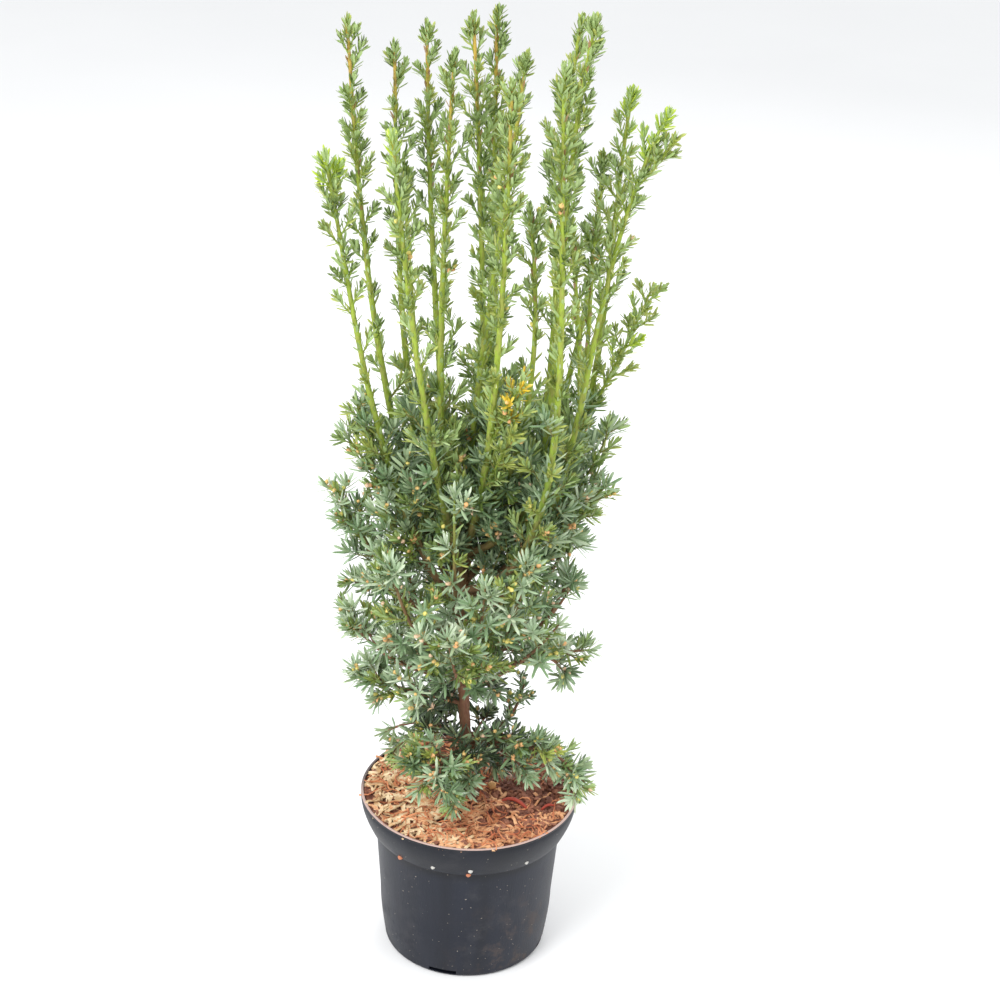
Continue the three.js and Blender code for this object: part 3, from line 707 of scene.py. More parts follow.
def pot_finish():
    """Dark slate plastic with faint flow bands: painted shadow under the collar and painted shade on
    the collar, cloudy dust, dirt low on the right, pale specks, and a lip that is rubbed in front."""
    finish = Finish("slate_plastic", roughness=0.5, ior=1.46, specular_ior_level=0.36)
    bands = finish.noise(34.0, 3.0, stretch=(1, 1, 0.04))
    slate = finish.ramp(bands, [(0.3, linear(22, 25, 34)), (0.7, linear(30, 34, 46))])
    height = finish.axis("Z")
    foot = (POT_HEIGHT - COLLAR_HEIGHT) * MM
    top = POT_HEIGHT * MM
    # Painted shadow in a band under the collar's overhang, and painted shade on the collar itself
    shade = finish.between(height, foot - 0.017, foot - 0.001)
    shade = shade - finish.between(height, foot - 0.0005, foot + 0.0002)
    collar = finish.between(height, foot + 0.0002, foot + 0.004)
    base = finish.blend(shade * 0.8 + collar * 0.45, slate, linear(12, 13, 17))
    cloud = finish.between(finish.noise(26.0, 5.0, 0.65), 0.52, 0.78)
    dusty = finish.blend(cloud * 0.25, base, linear(92, 90, 92))
    low = finish.between(height, 0.13, 0.0)
    right = finish.between(finish.axis("X"), -0.04, 0.07)
    smear = finish.between(finish.noise(48.0, 6.0, 0.7), 0.48, 0.66)
    soiled = finish.blend(low * right * smear * 0.45, dusty, linear(104, 88, 76))
    specks = finish.between(finish.noise(310.0, 2.0, 0.5), 0.71, 0.76)
    speckled = finish.blend(specks * 0.55, soiled, linear(176, 166, 152))
    lip = finish.between(height + finish.noise(120.0) * 0.0004, top - 0.0007, top - 0.0002)
    front = finish.between(finish.axis("Y"), 0.02, -0.03)
    rubbed = finish.blend(lip * (front * 0.7 + 0.15), speckled, linear(206, 176, 166))
    scratches = finish.noise(900.0, 2.0, stretch=(1, 1, 0.12))
    roughness = 0.44 + cloud * 0.2 + smear * low * 0.15
    return finish.paint(rubbed, roughness, scratches + bands * 2.0, 0.00025)


def soil_finish():
    """Damp peat: dark crumbs with brown and reddish grains."""
    finish = Finish("dark_peat", roughness=0.95)
    grains = finish.noise(190.0, 6.0, 0.7)
    stops = [(0.35, linear(70, 40, 32)), (0.52, linear(122, 74, 58)), (0.7, linear(172, 118, 90))]
    return finish.paint(finish.ramp(grains, stops), None, grains, 0.003)


def mulch_finish(name, dark, light):
    """Shredded bark or straw, mottled as torn fibre is."""
    finish = Finish(name, roughness=0.85)
    tone = finish.noise(55.0, 2.0)
    fibres = finish.noise(240.0, 4.0, 0.65)
    share = finish.between(tone * 0.65 + fibres * 0.35, 0.38, 0.62)
    return finish.paint(finish.blend(share, linear(*dark), linear(*light)), None, fibres, 0.0008)


def floor_finish():
    finish = Finish("pale_floor", roughness=0.9)
    drift = finish.noise(1.6, 2.0)
    return finish.paint(finish.blend(drift, linear(238, 238, 238), linear(243, 243, 243)))


def unit(vectors):
    vectors = np.asarray(vectors, float)
    return vectors / np.maximum(np.linalg.norm(vectors, axis=-1, keepdims=True), 1e-9)


def mix(first, second, share):
    return first + (second - first) * share


def clamp(value, low=0.0, high=1.0):
    return max(low, min(high, value))


def seeded_dice(seed):
    """The solids' own dice, which give the same numbers on every run."""
    state = seed

    def roll():
        nonlocal state
        state = (state * 1664525 + 1013904223) % 4294967296
        return state / 4294967296

    return roll


class Course:
    """A curve in millimetres, walked by shares of its length, with a level direction across it."""

    def __init__(self, controls, level, steps=64):
        share = np.linspace(0, 1, steps + 1)[:, None]
        degree = len(controls) - 1
        parts = [math.comb(degree, i) * share**i * (1 - share) ** (degree - i) for i in range(degree + 1)]
        self.points = sum(part * np.asarray(control, float) for part, control in zip(parts, controls))
        self.slopes = np.gradient(self.points, axis=0)
        walked = np.cumsum(np.linalg.norm(np.diff(self.points, axis=0), axis=1))
        self.length = float(walked[-1])
        self.shares = np.concatenate([[0], walked]) / self.length
        self.level = unit(level)

    def walk(self, values, share):
        return np.stack([np.interp(share, self.shares, values[:, axis]) for axis in range(3)], axis=1)

    def at(self, share):
        share = np.atleast_1d(np.asarray(share, float))
        along = unit(self.walk(self.slopes, share))
        across = unit(self.level - along * (along @ self.level)[:, None])
        return Frames(self.walk(self.points, share), along, across, np.cross(along, across))


def leaving(frames, turn, pitch):
    """Directions that leave the stem at a pitch, turned round it by an angle."""
    turn = np.atleast_1d(turn)[:, None]
    pitch = np.atleast_1d(pitch)[:, None]
    out = frames.across * np.cos(turn) + frames.lift * np.sin(turn)
    return unit(out * np.sin(pitch) + frames.along * np.cos(pitch))


trunk_course = Course([TRUNK_FOOT, TRUNK_BEND, TRUNK_TIP], (0, 1, 0))


def trunk_point_at(height):
    share = np.interp(height, trunk_course.points[:, 2], trunk_course.shares)
    return trunk_course.at(share).point[0]


def plan_limb(name, spec, flat):
    """A limb from its foot on the trunk to its tip. A flat one is a spray."""
    foot = trunk_point_at(spec.rise)
    knee = np.array(spec.knee, float)
    tip = np.array(spec.tip, float)
    out = unit((tip - foot) * (1, 1, 0))
    shoulder = (knee + tip) / 2 + out * spec.bow
    course = Course([foot, knee, shoulder, tip], (-out[1], out[0], 0))
    return SimpleNamespace(name=name, flat=flat, course=course, bare=spec.bare, spread=spec.spread,
                           needle=spec.needle, top=tip[2])


def plan_limbs():
    """The leader, the other shoots and the sprays, in the solids' order."""
    upright = {"leader": LEADER, **SHOOTS}
    limbs = [plan_limb(name, spec, False) for name, spec in upright.items()]
    return limbs + [plan_limb(name, spec, True) for name, spec in SPRAYS.items()]


limbs = plan_limbs()
limb_marks = np.stack([limb.course.points for limb in limbs])
box_low = np.array(cad_box[0]) / MM - BOX_SPARE
box_high = np.array(cad_box[1]) / MM + BOX_SPARE


def distances(points, marks):
    return np.linalg.norm(points[:, None, :] - marks[None, :, :], axis=2).min(axis=1)


def from_axis(points):
    return np.hypot(points[..., 0], points[..., 1])


def is_steep(limb, share):
    """True where a limb climbs rather than spreads."""
    return limb.course.at(share).along[0][2] > STEEP_RISE


def within_reach(points, limb, spare):
    """True where the points lie hardly farther out than the limb does at about their height."""
    marks = limb.course.points
    near = np.abs(points[:, None, 2] - marks[None, :, 2]) < REACH_WINDOW
    farthest = np.where(near, from_axis(marks)[None, :], -1.0).max(axis=1)
    return from_axis(points) < farthest + spare


def in_open_space(points, limb):
    """True where the points would fill a space through which sky or the trunk shows."""
    seen = points[:, 2] + SIGHT_SLOPE * points[:, 1]
    filled = np.zeros(len(points), bool)
    for space in OPEN_SPACES:
        if limb.name not in space.limbs:
            across = (points[:, 0] > space.left) & (points[:, 0] < space.right)
            filled |= across & (seen > space.low) & (seen < space.high) & (points[:, 1] < space.back)
    return filled


def room_for(points, limb, spare):
    """True where the points lie in the limb's own space, or a little way into the next one."""
    own = distances(points, limb.course.points)
    others = [distances(points, marks) for other, marks in zip(limbs, limb_marks) if other is not limb]
    shared = np.where(points[:, 2] < OLD_WOOD_TOP, OLD_SHARED_SPACE, SHARED_SPACE)
    clear = np.min(others, axis=0) > own - (SHARED_SPACE if limb.flat else shared)
    off_trunk = distances(points, trunk_course.points) > TRUNK_CLEARANCE
    in_box = np.all((points > box_low) & (points < box_high))
    fits = clear & off_trunk & within_reach(points, limb, spare) & ~in_open_space(points, limb)
    return bool(np.all(fits) and in_box)


def in_shade(point):
    """True low down by the trunk and under the front sprays, where hardly any light comes."""
    if point[2] < LOW_TOP and from_axis(point) < LOW_SHADE_RADIUS:
        return True
    seen = point[2] + SIGHT_SLOPE * point[1]
    return SHADE_LEFT < point[0] < SHADE_RIGHT and SHADE_LOW < seen < SHADE_HIGH


def zone_at(limb, share, shift):
    """The kind of growth on a shoot at a share of its course. shift blurs where zones meet."""
    height = limb.course.at(share).point[0][2] + shift
    under_tip = (1 - share) * limb.course.length
    if height < OLD_WOOD_TOP:
        return OLD_WOOD
    if height < OPEN_STEM_TOP:
        return OPEN_STEM
    tall = limb.course.points[-1][2] > TALL_SHOOT
    if tall and under_tip < SPARSE_LENGTH + shift:
        return SPARSE_TOP
    return TUFTED if height < TUFTED_TOP else CROWDED


def solid_plan(limb, roll):
    """The twigs that the solids have, from the same dice."""
    plan = []
    count = SPRAY_TWIGS if limb.flat else SHOOT_TWIGS
    start = limb.bare if limb.bare > 0 else TWIGS_START
    end = SPRAY_TWIGS_END if limb.flat else SHOOT_TWIGS_END
    for i in range(count):
        height = (i + 0.2 + 0.6 * roll()) / count
        share = mix(start, end, height)
        turn = i * math.pi + 1.2 * (roll() - 0.5) if limb.flat else i * GOLDEN_TURN + roll() - 2
        length = limb.spread * mix(1, 0.65, height) * (0.8 + 0.3 * roll())
        plan.append(Twig(share, turn, length, mix(*SOLID_TWIG_PITCHES, height)))
    if not limb.flat:
        plan.append(Twig(TOP_TWIG, 2 * math.pi * roll(), 20 + 6 * roll(), TOP_TWIG_PITCH))
    return plan


def spray_plan(limb, roll):
    """The finer twigs of a spray, left and right in turn: lifted where it spreads, and turned
    away from the trunk where it climbs."""
    plan = []
    start = max(limb.bare, TWIGS_START)
    pace = BASE_TWIG_PACE if limb.name.startswith("base") else SPRAY_TWIG_PACE
    count = int((1 - start) * limb.course.length / pace)
    for i in range(count):
        height = (i + 0.3 + 0.4 * roll()) / count
        share = mix(start, FINE_TWIGS_END, height)
        lifted = -0.3 - roll() if is_steep(limb, share) else 1.5 * roll() - 0.25
        turn = lifted if i % 2 else math.pi - lifted
        length = limb.spread * mix(0.9, 0.45, height) * (0.55 + 0.5 * roll())
        plan.append(Twig(share, turn, length, mix(*SPRAY_TWIG_PITCHES, height)))
    return plan


def shoot_plan(limb, roll):
    """The finer twigs of an upright shoot, zone by zone up to its tip."""
    plan = []
    share = max(limb.bare * 0.3, 0.06)
    turn = 6 * roll()
    while share < 1 - TIP_TUFT / limb.course.length:
        zone = zone_at(limb, share, 40 * (roll() - 0.5))
        length = mix(*zone.twig_length, roll())
        pitch = zone.twig_pitch + 0.3 * (roll() - 0.5)
        plan.append(Twig(share, turn, length, pitch))
        share += zone.twig_pace * (0.7 + 0.6 * roll()) / limb.course.length
        turn += GOLDEN_TURN + 0.6 * (roll() - 0.5)
    return plan


def tip_plan(limb, roll):
    """The small tufted twigs that stand close under a shoot's tip."""
    plan = []
    count = 1 + int(3 * roll())
    for i in range(count):
        share = 1 - (12 + 16 * (i + roll())) / limb.course.length
        plan.append(Twig(share, i * GOLDEN_TURN + 6 * roll(), 9 + 8 * roll(), TIP_TWIG_PITCH))
    return plan


# What has grown, each kind under the group that its piece is joined from
foliage = SimpleNamespace(needles={}, buds={}, twigs={}, stems={})


def keep(table, group, item):
    table.setdefault(group, []).append(item)


def palette_for(limb, point, chance):
    """The green of a spray, by its limb, its place and a throw of the dice."""
    young = clamp((point[2] - YOUNG_FROM) / (YOUNG_FULL - YOUNG_FROM))
    if chance[0] <= young:
        greens = YOUNG_GREENS
    elif in_shade(point):
        greens = SHADE_GREENS
    elif from_axis(point) < INNER_SHADE_RADIUS:
        greens = INNER_SHADE_GREENS
    # Shoots far out take paler greens, as painted light
    elif not limb.flat:
        greens = SHOOT_GREENS if from_axis(point) < EDGE_RADIUS else EDGE_GREENS
    else:
        # Low sprays take darker greens, as painted shade
        greens = LOW_GREENS if point[2] < LOW_TOP else OUTER_GREENS
    return greens[int(chance[1] * len(greens))]


def add_needles(group, frames, turn, pitch, length, green, twist, rng):
    """A row of needles at the frames, all of one green. twist is 1 where their upper sides
    face the twig's own upper side, and 0 where they face its tip."""
    count = len(frames.point)
    heading = leaving(frames, turn, pitch)
    upper = frames.lift * twist + frames.along * (1 - twist) + 0.25 * rng.normal(size=(count, 3))
    upper = unit(upper - heading * np.sum(upper * heading, axis=1)[:, None])
    bend = 0.09 + 0.07 * rng.random(count)
    size = length * (0.86 + 0.26 * rng.random(count))
    broad = OLD_NEEDLE_WIDTH if green in OLD_GREENS else YOUNG_NEEDLE_WIDTH
    wide = broad * (0.9 + 0.2 * rng.random(count))
    # Some needles a step paler: tone that differs at random, and painted highlight
    paler = rng.random(count) < PALER_SHARE
    kind = np.where(paler, NEEDLE_KINDS.index(PALER_GREEN.get(green, green)), NEEDLE_KINDS.index(green))
    keep(foliage.needles, group, (frames.point, heading, upper, size, wide, bend, kind))


def spaced(course, span, pace):
    """Frames along a part of a course, one for each pace of its length."""
    count = max(2, int((span[1] - span[0]) * course.length / pace))
    return count, course.at(np.linspace(*span, count))


def spiral_needles(group, course, span, pace, length, green, pitches, rng):
    """Needles all round a stem, each a golden turn on from the last."""
    count, frames = spaced(course, span, pace)
    turn = np.arange(count) * GOLDEN_TURN + 0.4 * rng.normal(size=count) + 6 * rng.random()
    pitch = np.linspace(*pitches, count) + 0.12 * rng.normal(size=count)
    add_needles(group, frames, turn, pitch, length, green, 0.0, rng)


def ranked_needles(group, course, span, pace, length, green, rng):
    """Needles in two ranks, left and right of a level twig, raised to a wide V."""
    count, frames = spaced(course, span, pace)
    side = np.arange(count) % 2 * math.pi
    raised = (0.42 + 0.3 * rng.normal(size=count)) * np.where(side > 0, -1, 1)
    pitch = mix(1.25, 0.9, np.linspace(0, 1, count)) + 0.12 * rng.normal(size=count)
    taper = np.interp(np.linspace(0, 1, count), (0, 0.2, 1), (0.75, 1, 0.95))
    add_needles(group, frames, side + raised, pitch, length * taper, green, 0.85, rng)


def star(group, course, depth, count, length, green, pitches, rng):
    """Needles all round a twig's end: wide open at the star's foot, closing towards the tip."""
    share = 1 - np.linspace(min(depth, 0.8 * course.length), 0.5, count) / course.length
    frames = course.at(share)
    turn = np.arange(count) * GOLDEN_TURN + 6 * rng.random()
    pitch = np.linspace(*pitches, count) + 0.08 * rng.normal(size=count)
    taper = np.interp(np.linspace(0, 1, count), (0, 0.6, 1), (1, 0.95, 0.7))
    add_needles(group, frames, turn, pitch, length * taper, green, 0.2, rng)


def add_buds(group, course, rng, chance):
    """Buds at the twig's end and just under it, mostly a few together."""
    if rng.random() > chance:
        return
    count = 1 + int(rng.random() < 0.8) * int(1 + 4 * rng.random())
    share = 1 - np.linspace(0, 9, count) / course.length
    frames = course.at(share)
    heading = leaving(frames, 6.3 * rng.random(count), 0.2 + 1.1 * rng.random(count) * (count > 1))
    size = 4.0 + 2.2 * rng.random(count)
    first = rng.choice(len(BUD_COLOURS), p=BUD_SHARES)
    kind = np.where(rng.random(count) < 0.7, first, rng.integers(len(BUD_COLOURS), size=count))
    keep(foliage.buds, group, (frames.point + heading * 0.6, heading, size, kind))


def twig_course(frames, twig, length):
    """A twig leaves its stem at its pitch and curves up towards its tip."""
    point = frames.point[0]
    along = leaving(frames, twig.turn, twig.pitch)[0]
    tip = point + along * length + np.array([0, 0, length * TWIG_RISE])
    return Course([point, point + along * length * 0.5, tip], (-along[1], along[0], 0.01), 12)


def twig_kind(height):
    if height > GREEN_TWIG_FROM:
        return "green_twig"
    return "olive_twig" if height > OLIVE_TWIG_FROM else "brown_twig"


def spare_for(limb, frames, twig):
    """How far past its limb's reach a twig may go."""
    if twig.spare is not None:
        return twig.spare
    if not limb.flat:
        return SHOOT_SPARE
    return STEEP_SPARE if frames.along[0][2] > STEEP_RISE else SPRAY_SPARE


def grow_twig(limb, parent, twig, depth, rng):
    """One twig with its needles, its buds and its own finer twigs, shortened to keep its space."""
    frames = parent.at(twig.share)
    length = twig.length
    spare = spare_for(limb, frames, twig)
    course = twig_course(frames, twig, length)
    while not room_for(course.at((0.5, 0.75, 1)).point, limb, spare):
        length *= TWIG_SHRINK
        if length < TWIG_SHORTEST:
            return
        course = twig_course(frames, twig, length)
    dress_twig(limb, course, rng, twig.greens)
    if depth > 0 or length < SUB_TWIG_LEAST:
        return
    count = round(length / SUB_TWIG_PACE)
    for i in range(count):
        share = mix(0.3, 0.8, (i + rng.random()) / count)
        turn = i * math.pi + 1.4 * (rng.random() - 0.5)
        reach = length * mix(0.6, 0.4, share) * (0.7 + 0.5 * rng.random())
        grow_twig(limb, course, Twig(share, turn, reach, SUB_TWIG_PITCH), 1, rng)


def is_fresh(limb, under_tip):
    """True in the fresh tuft at a shoot's tip, by how far under the tip it is."""
    return limb.name in FRESH_TIPS and under_tip < FRESH_TIPS[limb.name]


def dress_twig(limb, course, rng, greens=None):
    """Wood, needles and buds of one twig: ranks and a star in old wood, a close tuft in young."""
    group = group_of(limb)
    height = float(course.points[-1][2])
    if greens is not None:
        green = greens[int(len(greens) * rng.random())]
    elif is_fresh(limb, limb.top - height):
        green = "fresh_green" if rng.random() < 0.8 else "bright_green"
    else:
        green = palette_for(limb, course.points[-1], rng.random(2))
    old_needle = OLD_NEEDLE * limb.needle
    if green in OLD_GREENS:
        # Stars of sprays out from the axis are at times a step paler, as painted highlight
        outer = limb.flat and from_axis(course.points[-1]) > INNER_SHADE_RADIUS
        star_green = PALER_GREEN.get(green, green) if outer and rng.random() < PALER_SHARE else green
        ranked_needles(group, course, (0.1, 0.8), TWIG_NEEDLE_PACE, old_needle * 0.85, green, rng)
        pitches = OLD_STAR if limb.flat else SHOOT_STAR
        star(group, course, STAR_DEPTH, STAR_NEEDLES, old_needle, star_green, pitches, rng)
    else:
        length = YOUNG_NEEDLE if height > GREEN_TWIG_FROM else MIDDLE_NEEDLE * limb.needle
        spiral_needles(group, course, (0.15, 0.9), TUFT_NEEDLE_PACE, length, green, (0.85, 0.55), rng)
        star(group, course, TUFT_DEPTH, TUFT_NEEDLES, length * 0.95, green, YOUNG_STAR, rng)
    add_buds(group, course, rng, BUD_CHANCE if height < BUDS_TOP else HIGH_BUD_CHANCE)
    keep(foliage.twigs, group, (course, twig_kind(height)))


def group_of(limb):
    """The joined piece that a limb's needles go to."""
    side = limb.name.split("_")[0]
    side = {"leader": "centre", "mid": "centre", "inner": "base"}.get(side, side)
    return f"{'sprays' if limb.flat else 'shoots'}_{side}"


def dress_shoot_stem(limb, rng):
    """The needles that a shoot's own stem bears, older and longer low down, and its tip tuft."""
    course = limb.course
    group = group_of(limb)
    fresh = limb.name in FRESH_TIPS
    top = 1 - TIP_TUFT / course.length
    steps = np.linspace(max(limb.bare, 0.03), top, 25)
    for low, high in zip(steps[:-1], steps[1:]):
        zone = zone_at(limb, low, 20 * (rng.random() - 0.5))
        green = palette_for(limb, course.at(low).point[0], rng.random(2))
        if is_fresh(limb, (1 - low) * course.length):
            green = "fresh_green"
        pitches = (zone.stem_pitch, zone.stem_pitch)
        spiral_needles(group, course, (low, high), zone.stem_pace, zone.stem_needle, green, pitches, rng)
    if not fresh:
        span = (RUST_FROM, top)
        spiral_needles(group, course, span, RUST_NEEDLE_PACE, RUST_NEEDLE, "rust_green", (0.6, 0.4), rng)
    tip_green = "fresh_green" if fresh else str(rng.choice(("deep_green", "leaf_green", "bright_green")))
    length = TIP_NEEDLE * (FRESH_GROWTH if fresh else 1)
    star(group, course, TIP_TUFT, TIP_NEEDLES, length, tip_green, YOUNG_STAR, rng)


def dress_spray_stem(limb, rng):
    """A spray's own needles: in ranks where it spreads, few and all round where it climbs."""
    course = limb.course
    group = group_of(limb)
    steps = np.linspace(max(limb.bare, 0.12), FINE_TWIGS_END, 9)
    for low, high in zip(steps[:-1], steps[1:]):
        point = course.at(low).point
        if in_open_space(point, limb)[0]:
            continue
        span = (low, high)
        green = palette_for(limb, point[0], rng.random(2))
        if is_steep(limb, low):
            spiral_needles(group, course, span, STEEP_NEEDLE_PACE, MIDDLE_NEEDLE, green, (1.1, 0.9), rng)
        else:
            ranked_needles(group, course, span, TWIG_NEEDLE_PACE, OLD_NEEDLE * limb.needle, green, rng)
    green = "grey_green" if course.points[-1][2] > LOW_TOP else "blue_green"
    star(group, course, SPRAY_STAR_DEPTH, STAR_NEEDLES, OLD_NEEDLE * limb.needle, green, OLD_STAR, rng)


def grow_limb(limb, seed):
    """All that one limb bears: the solids' twigs first, then the finer ones."""
    roll = seeded_dice(seed)
    rng = np.random.default_rng(seed)
    plan = solid_plan(limb, roll)
    if limb.flat:
        dress_spray_stem(limb, rng)
        plan += spray_plan(limb, roll)
    else:
        dress_shoot_stem(limb, rng)
        plan += shoot_plan(limb, roll) + tip_plan(limb, roll)
    for twig in plan:
        grow_twig(limb, limb.course, twig, 0, rng)


def grow_lateral(spec, seed):
    """A side branch that shows by itself, with its own short twigs."""
    parent = next(limb for limb in limbs if limb.name == spec.parent)
    foot = parent.course.at(spec.share).point[0]
    out = unit((np.array(spec.tip) - foot) * (1, 1, 0))
    course = Course([foot, spec.knee, spec.tip], (-out[1], out[0], 0), 24)
    limb = SimpleNamespace(**{**vars(parent), "course": course})
    rng = np.random.default_rng(seed)
    dress_twig(limb, course, rng, spec.greens)
    keep(foliage.stems, group_of(limb), course)
    count = int(course.length / LATERAL_TWIG_PACE)
    for i in range(count):
        share = mix(0.25, FINE_TWIGS_END, (i + 0.5) / count)
        length = mix(*spec.twigs, share)
        twig = Twig(share, i * GOLDEN_TURN, length, LATERAL_TWIG_PITCH, spec.greens, LATERAL_SPARE)
        grow_twig(limb, course, twig, 1, rng)


def mesh_of(name, points, faces, slots=None):
    """A mesh from arrays: points in millimetres, and faces that all have as many corners."""
    mesh = bpy.data.meshes.new(name)
    mesh.vertices.add(len(points))
    mesh.vertices.foreach_set("co", (np.asarray(points) * MM).astype(np.float32).ravel())
    mesh.loops.add(faces.size)
    mesh.loops.foreach_set("vertex_index", faces.astype(np.int32).ravel())
    mesh.polygons.add(len(faces))
    mesh.polygons.foreach_set("loop_start", np.arange(len(faces), dtype=np.int32) * faces.shape[1])
    if slots is not None:
        mesh.polygons.foreach_set("material_index", slots.astype(np.int32))
    mesh.update(calc_edges=True)
    return mesh


def stand(name, data):
    """A new object in the scene."""
    made = bpy.data.objects.new(name, data)
    bpy.context.scene.collection.objects.link(made)
    return made


def settled(piece):
    """A plain mesh of a piece with its modifiers applied. The piece itself goes."""
    bpy.context.view_layer.update()
    mesh = bpy.data.meshes.new_from_object(piece.evaluated_get(bpy.context.evaluated_depsgraph_get()))
    bpy.data.objects.remove(piece)
    return mesh


def add_piece(name, mesh, materials, nodes=(), smooth=False):
    """A finished piece: it rides on the plant's one body and stands for the nodes it replaces."""
    for material in materials:
        mesh.materials.append(material)
    mesh.polygons.foreach_set("use_smooth", np.full(len(mesh.polygons), smooth))
    piece = stand(name, mesh)
    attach(piece, "root")
    if nodes:
        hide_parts(*nodes)


def wall_faces(rings, sides):
    """Triangles between rings of points that lie one after another."""
    ring, side = np.meshgrid(np.arange(rings - 1), np.arange(sides), indexing="ij")
    a = (ring * sides + side).ravel()
    b = (ring * sides + (side + 1) % sides).ravel()
    return np.concatenate([np.stack([a, b, b + sides], 1), np.stack([a, b + sides, a + sides], 1)])


def cap_faces(start, sides, centre):
    """Triangles from the ring that begins at a point to the point over its middle."""
    side = np.arange(sides)
    return np.stack([start + side, start + (side + 1) % sides, np.full(sides, centre)], 1)


def skin_faces(rings, sides):
    """Triangles of a closed skin: its rings of points, then the points at its two ends."""
    foot = cap_faces(0, sides, rings * sides)[:, [1, 0, 2]]
    tip = cap_faces((rings - 1) * sides, sides, rings * sides + 1)
    return np.concatenate([wall_faces(rings, sides), foot, tip])


def tube(course, radius_at, sides, rings, span=(0.0, 1.0), relief=None):
    """Points and faces of a closed tube along a course, with a pointed end and a flat foot."""
    share = np.linspace(*span, rings)
    frames = course.at(share)
    angle = np.arange(sides) * 2 * math.pi / sides
    radius = np.array([radius_at(part) for part in share])[:, None] * np.ones(sides)
    if relief is not None:
        radius = radius + relief(share[:, None] * course.length, angle[None, :], radius)
    spoke = frames.across[:, None] * np.cos(angle)[:, None] + frames.lift[:, None] * np.sin(angle)[:, None]
    points = frames.point[:, None] + spoke * radius[:, :, None]
    end = frames.point[-1] + frames.along[-1] * radius[-1, 0] * 0.8
    points = np.concatenate([points.reshape(-1, 3), frames.point[:1], end[None]])
    return points, skin_faces(rings, sides)


def joined(parts):
    """Several pairs of points and faces as one pair."""
    shift = np.cumsum([0] + [len(points) for points, _ in parts])
    faces = [faces + start for (_, faces), start in zip(parts, shift)]
    return np.concatenate([points for points, _ in parts]), np.concatenate(faces)


def add_joined(name, parts, looks, nodes=(), kinds=None):
    """A smooth piece that is joined from several pairs of points and faces."""
    add_piece(name, mesh_of(name, *joined(parts), kinds), looks, nodes, smooth=True)


def needle_mesh(name, rows):
    """Every needle as a slim blade: a ridge above, a flat pale underside, a pointed tip."""
    root, heading, upper, size, wide, bend, kind = [np.concatenate(column) for column in zip(*rows)]
    side = np.cross(upper, heading)
    count = len(root)
    corners = []
    for along, breadth, ridge in NEEDLE_RINGS:
        lift = upper * (bend * along * along * size)[:, None]
        middle = root + heading * (along * size)[:, None] + lift
        half = side * (breadth * wide / 2)[:, None]
        corners += [middle + half, middle - half, middle + upper * (ridge * wide * 0.5)[:, None]]
    corners.append(root + heading * size[:, None] + upper * (bend * size)[:, None])
    points = np.stack(corners, axis=1).reshape(-1, 3)
    per = len(corners)
    faces = [(0, 2, 1)]
    under = [True]
    for ring in range(len(NEEDLE_RINGS) - 1):
        for first, second in NEEDLE_SIDES:
            a, b = ring * 3 + first, ring * 3 + second
            faces += [(a, b, b + 3), (a, b + 3, a + 3)]
            under += [(first, second) == (0, 1)] * 2
    last = per - 4
    for first, second in NEEDLE_SIDES:
        faces.append((last + first, last + second, per - 1))
        under.append((first, second) == (0, 1))
    all_faces = np.array(faces)[None] + (np.arange(count) * per)[:, None, None]
    below = np.array([NEEDLE_KINDS.index(UNDERSIDE_OF.get(green, green)) for green in NEEDLE_KINDS])
    slots = np.where(np.array(under)[None], below[kind][:, None], kind[:, None])
    return mesh_of(name, points, all_faces.reshape(-1, 3), slots.ravel())


def bud_mesh(name, rows):
    """Every bud as a small egg of five sides, standing on its twig."""
    root, heading, size, kind = [np.concatenate(column) for column in zip(*rows)]
    side = unit(np.cross(heading, (0.31, 0.24, 0.92)))
    third = np.cross(heading, side)
    corners = [root]
    for along, breadth in BUD_RINGS:
        for i in range(5):
            angle = i * 2 * math.pi / 5
            spoke = side * math.cos(angle) + third * math.sin(angle)
            middle = root + heading * (along * size)[:, None]
            corners.append(middle + spoke * (breadth * size * 0.9)[:, None])
    corners.append(root + heading * size[:, None])
    points = np.stack(corners, axis=1).reshape(-1, 3)
    faces = []
    for i in range(5):
        j = (i + 1) % 5
        faces += [(0, 1 + j, 1 + i), (11 + i, 11 + j, 16)]
        for ring in (1, 6):
            faces += [(ring + i, ring + j, ring + 5 + j), (ring + i, ring + 5 + j, ring + 5 + i)]
    all_faces = np.array(faces)[None] + (np.arange(len(root)) * 17)[:, None, None]
    return mesh_of(name, points, all_faces.reshape(-1, 3), np.repeat(kind, len(faces)))


def grow_plant():
    for number, limb in enumerate(limbs):
        grow_limb(limb, FIRST_LIMB_SEED + number)
    for number, spec in enumerate(LATERALS.values()):
        grow_lateral(spec, FIRST_LATERAL_SEED + number)


def stem_radius(limb):
    """A stem's radius at a share of its course, which carries its bough on without a step."""
    foot = TRUNK_TIP_RADIUS if limb.name == "leader" else BOUGH_END_RADIUS
    tip = STEM_TIP_RADIUS
    if limb.flat:
        foot, tip = SPRAY_FOOT_RADIUS, SPRAY_TIP_RADIUS

    def radius_at(share):
        if share < limb.bare:
            return mix(BOUGH_FOOT_RADIUS, foot, share / limb.bare)
        along = (share - limb.bare) / (1 - limb.bare)
        return mix(foot, tip, along**1.1)

    return radius_at


def leaf_bases(distance, angle, radius):
    """The low ribs that needle bases leave down a young stem."""
    return radius * 0.09 * np.sin(5 * angle + distance * 0.55) * np.sin(distance * 1.3 + 2 * angle)


